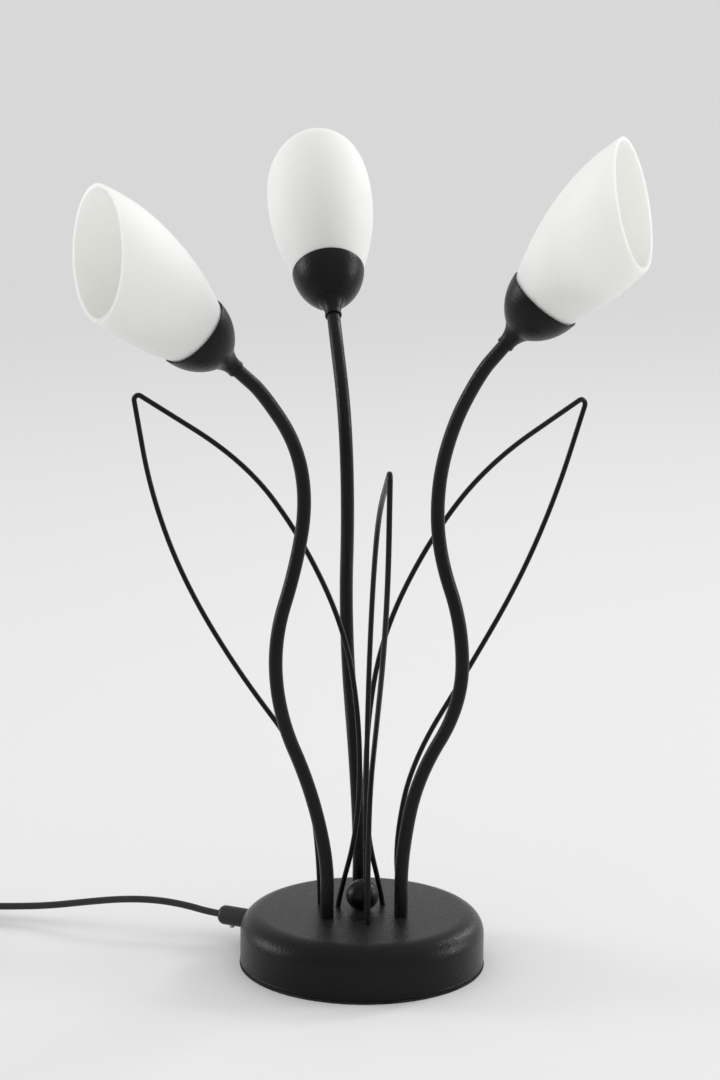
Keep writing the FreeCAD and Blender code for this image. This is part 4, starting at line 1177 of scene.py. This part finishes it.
@dataclass
class Switch:
    """Rocker switch in the cord."""

    near_end: Pair = (-242.0, 73.2)
    azimuth: float = 177.0
    length: float = 58.0
    width: float = 25.0
    height: float = 17.6
    corner: float = 8.0
    edge_round: float = 2.0
    seam: float = 0.3
    window_length: float = 21.8
    window_width: float = 12.2
    window_depth: float = 7.04
    window_edge: float = 0.3
    screw_hole_radius: float = 2.4
    screw_hole_depth: float = 0.8
    rocker_length: float = 20.4
    rocker_width: float = 11.6
    rocker_edge: float = 0.5
    pivot_height: float = 13.6
    throw: float = 14.0
    rocker_proud: float = 0.9
    wing_share: float = 0.8
    shoulder: Pair = (0.1, 0.4)
    keel: float = 4.6
    mark: float = 3.2
    mark_line: float = 0.5
    bar_line: float = 0.6
    mark_share: float = 0.55
    mark_heights: Pair = (-0.08, 0.12)

    def build(self) -> None:
        """Make the two halves of the housing and the rocker."""
        place, half = self.placement(), self.height / 2
        top = self.housing(half + self.seam / 2, self.height, self.height)
        middle = (0, 0, self.height)
        window = Form().block(self.window_length, self.window_width, self.window_depth * 2, middle)
        top.carve(window).soften(self.window_edge, 2, 80)
        hand_over(top.piece("switch_lid", place), Slot.BLACK_GLOSS, ("switch_top",))
        bottom = self.housing(0, half - self.seam / 2, 0)
        screw = Form().drum(self.screw_hole_radius, -CUT_OVERRUN, self.screw_hole_depth, 24)
        bottom.carve(screw.turn(Matrix.Translation((self.length / 2 - self.corner, 0, 0))))
        hand_over(bottom.piece("switch_tray", place), Slot.BLACK_GLOSS, ("switch_bottom",))
        self.make_rocker(place)

    def placement(self) -> Matrix:
        """Return the switch's frame: +X along the cord, +Z up.

        Returns:
            The placement in metres.
        """
        along = heading(self.azimuth)
        middle = mm(*self.near_end, 0) + along * (self.length / 2 * MM)
        return frame_of(middle, along, Z_AXIS)

    def housing(self, low: float, high: float, face: float) -> Form:
        """Return one half of the housing, with its outer face's edge rounded.

        Args:
            low: Height of its underside.
            high: Height of its top.
            face: Height of its outer face.

        Returns:
            The solid half.
        """
        half = Form().block(self.length, self.width, high - low, (0, 0, (low + high) / 2))
        return half.round_upright(self.corner, 10).round_level(face, self.edge_round, 4)

    def make_rocker(self, place: Matrix) -> None:
        """Make the rocker, whose near wing is down, with a bar and a ring on its wings.

        Args:
            place: The switch's frame.
        """
        reach, half_throw = self.rocker_length / 2, math.radians(self.throw / 2)
        slope = math.tan(half_throw)
        valley = (self.height + self.rocker_proud - self.pivot_height) / math.cos(half_throw)
        tip = reach * math.cos(math.atan2(valley + slope * reach * self.wing_share, reach))
        inset, shoulder = self.shoulder
        side = [(0, valley), (tip, valley + slope * tip), (reach - inset, shoulder)]
        side += [(self.keel / 2, -self.keel / 2)]
        outline = side + [(-x, z) for x, z in side[:0:-1]]
        corners = [(x, -self.rocker_width / 2, z) for x, z in outline]
        form = Form().slab(corners, (0, self.rocker_width, 0)).soften(self.rocker_edge, 3, 20)
        tilt = Matrix.Rotation(-half_throw, 4, "Y")
        frame = place @ Matrix.Translation(mm(0, 0, self.pivot_height)) @ tilt
        rocker = form.piece("rocker_key", frame)
        hand_over(rocker, Slot.BLACK_GLOSS, ("switch_rocker",), ROCKER)
        bar, ring = self.mark_forms()
        for name, mark, sign in (("rocker_bar", bar, -1), ("rocker_ring", ring, 1)):
            lean = Matrix.Rotation(-sign * half_throw, 4, "Y")
            height = valley + slope * tip * self.mark_share
            middle = Vector((sign * tip * self.mark_share, 0, height))
            marked = mark.piece(name, frame @ Matrix.Translation(middle * MM) @ lean)
            hand_over(marked, Slot.BLACK_GLOSS, body=ROCKER, finish=WHITE_MARK)

    def mark_forms(self) -> tuple[Form, Form]:
        """Return the raised bar for on and the raised ring for off.

        Returns:
            The two forms, each flat on its own frame.
        """
        low, high = self.mark_heights
        bar = Form().block(self.bar_line, self.mark, high - low, (0, 0, (low + high) / 2))
        outer, inner = self.mark / 2, self.mark / 2 - self.mark_line
        outline = [(inner, low), (outer, low), (outer, high), (inner, high)]
        return bar, Form().lathe(outline, 32)


@dataclass
class Plug:
    """Flat plug with finger grooves, a ribbed sleeve and two pins."""

    place: Pair = (-350.0, -62.5)
    length: float = 40.0
    width: float = 35.0
    height: float = 13.8
    shoulder: float = 16.0
    tail: float = 11.0
    corner: float = 2.0
    edge: float = 3.0
    grooves: int = 3
    groove_width: float = 1.0
    groove_depth: float = 0.8
    groove_start: float = 4.0
    groove_step: float = 3.0
    ribs: int = 12
    rib_step: float = 1.8
    sleeve_in_plug: float = 1.5
    sleeve_swell: float = 1.95
    sleeve_taper: float = 0.055
    hollow_share: float = 0.86
    pin_diameter: float = 4.0
    pin_length: float = 19.0
    pin_spacing: float = 18.6
    pin_in_plug: float = 2.0
    pin_round: float = 1.4

    def build(self, way: Vector, cord_diameter: float) -> list[bpy.types.Object]:
        """Make the plug, its sleeve and its pins.

        Args:
            way: The level direction in which the plug points.
            cord_diameter: Diameter of the cord, in millimetres.

        Returns:
            The pieces.
        """
        frame = frame_of(self.middle() * MM, way, Z_AXIS)
        return [self.make_housing(frame), self.make_sleeve(way, cord_diameter)] + [
            self.make_pin(name, side, frame) for name, side in (("right", -1), ("left", 1))
        ]

    def middle(self) -> Vector:
        """Return the middle of the plug's cord end, in millimetres."""
        return Vector((*self.place, self.height / 2))

    def make_housing(self, frame: Matrix) -> bpy.types.Object:
        """Make the flat plug, with finger grooves on both its narrow sides.

        Args:
            frame: The plug's frame.

        Returns:
            The plug.
        """
        wide, narrow, length = self.width / 2, self.tail / 2, self.length
        shoulder = length - self.shoulder
        near = [(0, -narrow), (shoulder, -wide), (length, -wide)]
        plan = near + [(x, -y) for x, y in near[::-1]]
        form = Form().slab([(x, y, -self.height / 2) for x, y in plan], (0, 0, self.height))
        form.round_upright(self.corner, 5).soften(self.edge, 5, 60)
        for step in range(self.grooves):
            for side in (-wide, wide):
                centre = (shoulder + self.groove_start + self.groove_step * step, side, 0)
                width, depth = self.groove_width, self.groove_depth
                form.carve(Form().block(width, depth * 2, self.height * 2, centre))
        return hand_over(form.piece("plug_housing", frame), Slot.BLACK_PLUG, ("plug_body",))

    def make_sleeve(self, way: Vector, cord_diameter: float) -> bpy.types.Object:
        """Make the ribbed, tapered sleeve where the cord enters the plug.

        Args:
            way: The level direction in which the plug points.
            cord_diameter: Diameter of the cord, in millimetres.

        Returns:
            The sleeve.
        """
        start = self.middle() + way * self.sleeve_in_plug
        route = [start - way * self.rib_step * rib for rib in range(self.ribs)]
        swell = [
            (self.sleeve_swell - self.sleeve_taper * rib) * (1 if rib % 2 else self.hollow_share)
            for rib in range(self.ribs)
        ]
        sleeve = wire_curve("plug_sleeve", route, cord_diameter, 6, swell=swell)
        return hand_over(sleeve, Slot.BLACK_PLUG)

    def make_pin(self, name: str, side: int, frame: Matrix) -> bpy.types.Object:
        """Make one pin, with its tip rounded.

        Args:
            name: Which pin it is.
            side: -1 for the right one, 1 for the left one.
            frame: The plug's frame.

        Returns:
            The pin.
        """
        start = mm(self.length, side * self.pin_spacing / 2, 0)
        form = Form().drum(self.pin_diameter / 2, -self.pin_in_plug, self.pin_length, 40)
        form.round_level(self.pin_length, self.pin_round, 5)
        pin = form.piece(f"pin_{name}", frame @ frame_of(start, -Z_AXIS, X_AXIS))
        return hand_over(pin, Slot.NICKEL_PINS, (f"plug_pin_{name}",))


@dataclass
class Cord:
    """The lamp's cord with its coil and its tie, and what it runs to."""

    grip: Grip
    switch: Switch
    plug: Plug
    diameter: float = 4.4
    length: float = 1775.0
    in_grip: float = 11.0
    grip_straight: float = 7.0
    end_straight: float = 15.0
    in_switch: float = 2.0
    to_switch: tuple[Spot, ...] = (
        (-112.5, 49.4, 19.1),
        (-132.0, 53.4, 20.9),
        (-154.0, 59.0, 19.2),
        (-178.0, 65.6, 14.6),
        (-201.5, 70.6, 10.2),
    )
    to_coil: tuple[Spot, ...] = ((-330.4, 73.4, 6.6), (-342.6, 60.2, 4.4))
    to_plug: tuple[Spot, ...] = ((-346.6, -16.0, 17.0), (-348.4, -32.0, 10.4))
    coil_middle: Pair = (-316.0, 22.0)
    coil_diameter: float = 49.0
    coil_pitch: float = 5.6
    coil_low: float = 3.5
    coil_layers: int = 4
    turns_in_layer: float = 1.875
    climb: float = 0.5
    coil_straight: float = 6.0
    points_in_turn: int = 16
    tie_azimuth: float = 330.0
    tie_width: float = 5.0
    tie_wall: float = 1.0
    tie_gap: float = 0.3
    tie_corner: float = 3.0
    tie_edge: float = 0.25

    def build(self) -> None:
        """Make the cord and what is on it."""
        cord = wire_curve("cord", self.route(), self.diameter, 8)
        hand_over(cord, Slot.BLACK_CORD, ("cord_lead", "cord_link", "cord_coil", "cord_tail"))
        pieces = [self.make_tie()] + self.plug.build(self.plug_way(), self.diameter)
        self.switch.build()
        housing = ("switch_lid", "switch_tray", "rocker_key")
        pieces += [bpy.data.objects[name] for name in housing]
        nose = self.grip.placement() @ mm(0, 0, self.grip.length)

    def coil_place(self, turn: float, outset: float = 1.0) -> Vector:
        """Return the place on the coil after a number of turns.

        The cord winds inwards, climbs half a turn, winds outwards, and so on for each layer.

        Args:
            turn: Number of turns from the coil's start.
            outset: Factor on the distance from the coil's middle.

        Returns:
            The place in millimetres.
        """
        spread = self.coil_pitch * self.turns_in_layer
        inner, outer = (self.coil_diameter - spread) / 2, (self.coil_diameter + spread) / 2
        span = self.turns_in_layer + self.climb
        layer = min(int(turn / span), self.coil_layers - 1)
        within = turn - layer * span
        start, stop = (inner, outer) if layer % 2 else (outer, inner)
        radius = start + (stop - start) * min(within / self.turns_in_layer, 1)
        rise = max(0, within - self.turns_in_layer) / self.climb
        height = self.coil_low + self.coil_pitch * (layer + rise * rise * (3 - 2 * rise))
        middle = Vector((*self.coil_middle, height))
        return middle + heading(180 + 360 * turn) * radius * outset

    def coil(self) -> list[Vector]:
        """Return the places that the cord bends past in the coil, in millimetres.

        Returns:
            The places, from the coil's start to its end.
        """
        total = self.coil_layers * self.turns_in_layer + (self.coil_layers - 1) * self.climb
        count = round(total * self.points_in_turn)
        outset = 1 / math.cos(math.pi / self.points_in_turn)
        return [self.coil_place(total * step / count, outset) for step in range(count + 1)]

    def route(self) -> list[Vector]:
        """Return the places that the cord bends past, from grip to plug, in millimetres.

        Returns:
            The places.
        """
        grip, switch, plug = self.grip, self.switch, self.plug.middle()
        out, along, plug_way = heading(grip.azimuth), heading(switch.azimuth), self.plug_way()
        nose = out * (grip.pan_diameter / 2 + grip.length) + Vector((0, 0, grip.height))
        near = Vector((*switch.near_end, switch.height / 2)) + along * self.in_switch
        far = near + along * (switch.length - self.in_switch * 2)
        coil = self.coil()
        way_in, way_out = (coil[1] - coil[0]).normalized(), (coil[-1] - coil[-2]).normalized()
        short, long = self.coil_straight, self.end_straight + self.coil_straight
        route = [nose - out * self.in_grip, nose + out * self.grip_straight]
        route += [Vector(place) for place in self.to_switch]
        route += [near - along * self.end_straight, near, far, far + along * self.end_straight]
        route += [Vector(place) for place in self.to_coil]
        route += [coil[0] - way_in * long, coil[0] - way_in * short, *coil]
        route += [coil[-1] + way_out * short, coil[-1] + way_out * long]
        route += [Vector(place) for place in self.to_plug]
        return route + [plug - plug_way * self.end_straight, plug, plug + plug_way * self.in_switch]

    def plug_way(self) -> Vector:
        """Return the level direction in which the plug points."""
        last, place = Vector(self.to_plug[-1]), self.plug.place
        return Vector((place[0] - last.x, place[1] - last.y, 0)).normalized()

    def make_tie(self) -> bpy.types.Object:
        """Make the band round the coil's turns.

        Returns:
            The band.
        """
        inner = self.coil_pitch * self.turns_in_layer + self.diameter + self.tie_gap * 2
        height = self.coil_pitch * (self.coil_layers - 1) + self.diameter + self.tie_gap * 2
        wall, width = self.tie_wall, self.tie_width
        band = Form().block(inner + wall * 2, height + wall * 2, width)
        hole = Form().block(inner, height, width * 2).round_upright(self.tie_corner - wall, 6)
        band.round_upright(self.tie_corner, 6).carve(hole).soften(self.tie_edge, 2, 60)
        out = heading(self.tie_azimuth)
        centre = mm(*self.coil_middle, height / 2 + wall) + out * (self.coil_diameter / 2 * MM)
        place = frame_of(centre, out, out.cross(Z_AXIS))
        return hand_over(band.piece("cord_band", place), Slot.BLACK_PLASTIC, ("cord_tie",))


def dress_solids(nodes: dict[str, bpy.types.Object]) -> None:
    """Give every solid that stays in view the finish of its slot.

    Args:
        nodes: The part's solids by name.
    """
    slots = {slot.record_name(): slot for slot in Slot}
    for name, solid in nodes.items():
        for holder in solid.material_slots:
            key = holder.material.name.split(".")[0]
            if key in slots:
                holder.material = slots[key].value.material()
                LOG.info("dressed %s", name)


# The studio


@dataclass(frozen=True)
class SoftLight:
    """A round soft light, so far off that it lights the whole floor evenly.

    Its direction from +X, its height over the floor and the width that it fills are angles in
    degrees, and its strength is in watts per square metre.
    """

    name: str
    azimuth: float
    elevation: float
    width: float
    strength: float
    marker_distance: float = 4.0

    def build(self) -> None:
        """Hang the light."""
        rise = math.radians(self.elevation)
        way = heading(self.azimuth) * math.cos(rise) + Z_AXIS * math.sin(rise)
        data = bpy.data.lights.new(self.name, "SUN")
        data.angle, data.energy = math.radians(self.width), self.strength
        light = bpy.data.objects.new(self.name, data)
        light.location = way * self.marker_distance
        light.rotation_euler = way.to_track_quat("Z", "Y").to_euler()
        bpy.context.scene.collection.objects.link(light)


@dataclass
class Studio:
    """Camera, floor and lights, in metres and degrees, with the lens in millimetres."""

    camera_height: float = 0.63006
    camera_distance: float = 1.75
    pitch: float = 11.751
    yaw: float = -0.112
    roll: float = 0.515
    lens: float = 99.355
    sensor_width: float = 36.0
    far_clip: float = 200.0
    floor_size: float = 120.0
    floor_roughness: float = 0.9
    floor_gloss: float = 0.1
    # Painted light on the floor: its colour is palest round a point on the lamp's right and greyer
    # far off. This painted pool of light and painted falloff stand in for the lights' own falloff.
    painted_pool_tone: Colour = (0.87, 0.87, 0.865)
    painted_falloff_tone: Colour = (0.69, 0.69, 0.69)
    painted_pool_middle: Spot = (0.9, 0.1, 0.0)
    painted_pool_reach: Pair = (0.6, 3.4)
    room_level: Pair = (0.36, 0.87)
    bright_way: Spot = (0.30, 0.10, 0.95)
    lights: tuple[SoftLight, ...] = (
        SoftLight("key", 41, 28, 12, 0.6),
        SoftLight("left_strip", 168, 14, 20, 0.85),
        SoftLight("right_strip", 9, 14, 13, 0.75),
    )

    def build(self) -> None:
        """Set up the whole studio."""
        self.make_camera()
        self.make_floor()
        self.make_world()
        for light in self.lights:
            light.build()
        bpy.context.scene.view_settings.view_transform = "Standard"

    def make_camera(self) -> None:
        """Set the camera up where the photograph was taken from."""
        pitch, yaw, roll = (math.radians(angle) for angle in (self.pitch, self.yaw, self.roll))
        ahead = Vector(
            (math.sin(yaw) * math.cos(pitch), math.cos(yaw) * math.cos(pitch), -math.sin(pitch))
        )
        level = Vector((math.cos(yaw), -math.sin(yaw), 0))
        over = level.cross(ahead)
        right = level * math.cos(roll) + over * math.sin(roll)
        data = bpy.data.cameras.new("camera")
        data.sensor_width, data.lens, data.clip_end = self.sensor_width, self.lens, self.far_clip
        camera = bpy.data.objects.new("camera", data)
        place = Vector((0, -self.camera_distance, self.camera_height))
        camera.matrix_world = frame_of(place, right, -ahead)
        bpy.context.scene.collection.objects.link(camera)
        bpy.context.scene.camera = camera

    def make_floor(self) -> None:
        """Make the wide level floor, with a painted pool of light on the lamp's right and painted
        shade greying it far off.
        """
        mesh = bmesh.new()
        bmesh.ops.create_grid(mesh, x_segments=1, y_segments=1, size=self.floor_size / 2)
        data = bpy.data.meshes.new("floor")
        mesh.to_mesh(data)
        mesh.free()
        floor = bpy.data.objects.new("floor", data)
        bpy.context.scene.collection.objects.link(floor)
        values = {"Roughness": self.floor_roughness, "Specular IOR Level": self.floor_gloss}
        shader = Shader("paper_with_painted_light_pool", values)
        # Painted light: the floor's colour follows the distance from the middle of the painted pool
        # of light.
        away = shader.compare("Object", "DISTANCE", Vector(self.painted_pool_middle))
        ramp = shader.node("ShaderNodeValToRGB")
        ramp.color_ramp.interpolation = "EASE"
        for stop, tone in zip(ramp.color_ramp.elements, (self.painted_pool_tone, self.painted_falloff_tone)):
            stop.color = (*tone, 1)
        shader.wire(shader.remap(away, self.painted_pool_reach, (0, 1)), ramp.inputs["Fac"])
        shader.wire(ramp.outputs["Color"], shader.surface.inputs["Base Color"])
        data.materials.append(shader.material)

    def make_world(self) -> None:
        """Fill the room with soft white light, stronger from above and a little from the right."""
        world = bpy.data.worlds.new("room")
        world.use_nodes = True
        nodes = Nodes(world.node_tree)
        background = nodes.tree.nodes["Background"]
        background.inputs["Color"].default_value = (1, 1, 1, 1)
        lean = nodes.compare("Generated", "DOT_PRODUCT", Vector(self.bright_way).normalized())
        level = nodes.remap(lean, (-1, 1), self.room_level)
        nodes.wire(level, background.inputs["Strength"])
        bpy.context.scene.world = world


FLOWERS = (
    Flower(
        name="back", third=0, azimuth=97.7, drift=10.1, rise=355.2, sway=68.5, tilt=40.5,
        sway_shares=(0.0, 0.18, 0.555, 0.585, 0.325, 0.25, 0.38),
    ),
    Flower(
        name="left", third=1, azimuth=210.7, drift=0.1, rise=341.9, sway=62.7, tilt=40.5,
        sway_shares=(0.0, 0.20, 0.54, 0.605, 0.365, 0.25, 0.365),
    ),
    Flower(
        name="right", third=2, azimuth=339.9, drift=1.0, rise=355.2, sway=59.3, tilt=49.8,
        sway_shares=(0.0, 0.155, 0.62, 0.62, 0.345, 0.325, 0.485),
    ),
)
LEAVES = (
    Leaf(
        name="right", third=0, azimuth=33.8, reach=145.5, rise=307.5,
        outer_shares=(0.02, 0.10, 0.385, 0.65, 0.84),
        inner_shares=(-0.135, -0.135, -0.06, 0.175, 0.475),
    ),
    Leaf(
        name="left", third=1, azimuth=156.8, reach=134.5, rise=312.0,
        outer_shares=(0.06, 0.12, 0.475, 0.745, 0.91),
        inner_shares=(-0.145, -0.15, -0.075, 0.15, 0.435),
    ),
    Leaf(
        name="front", third=2, azimuth=274.1, reach=139.0, rise=303.8,
        outer_shares=(0.025, 0.095, 0.435, 0.765, 0.965),
        inner_shares=(-0.125, -0.11, 0.0, 0.19, 0.455),
    ),
)


def main() -> None:
    """Build the scene: the studio first, then the lamp from its cord to its leaves."""
    logging.basicConfig(level=logging.INFO, format="%(message)s")
    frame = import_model()
    Studio().build()
    grip = Grip()
    Cord(grip, Switch(), Plug()).build()
    grip.build()
    Base().build()
    for piece in FLOWERS + LEAVES:
        piece.build()
    dress_solids(frame["nodes"])


if __name__ == "__main__":
    main()
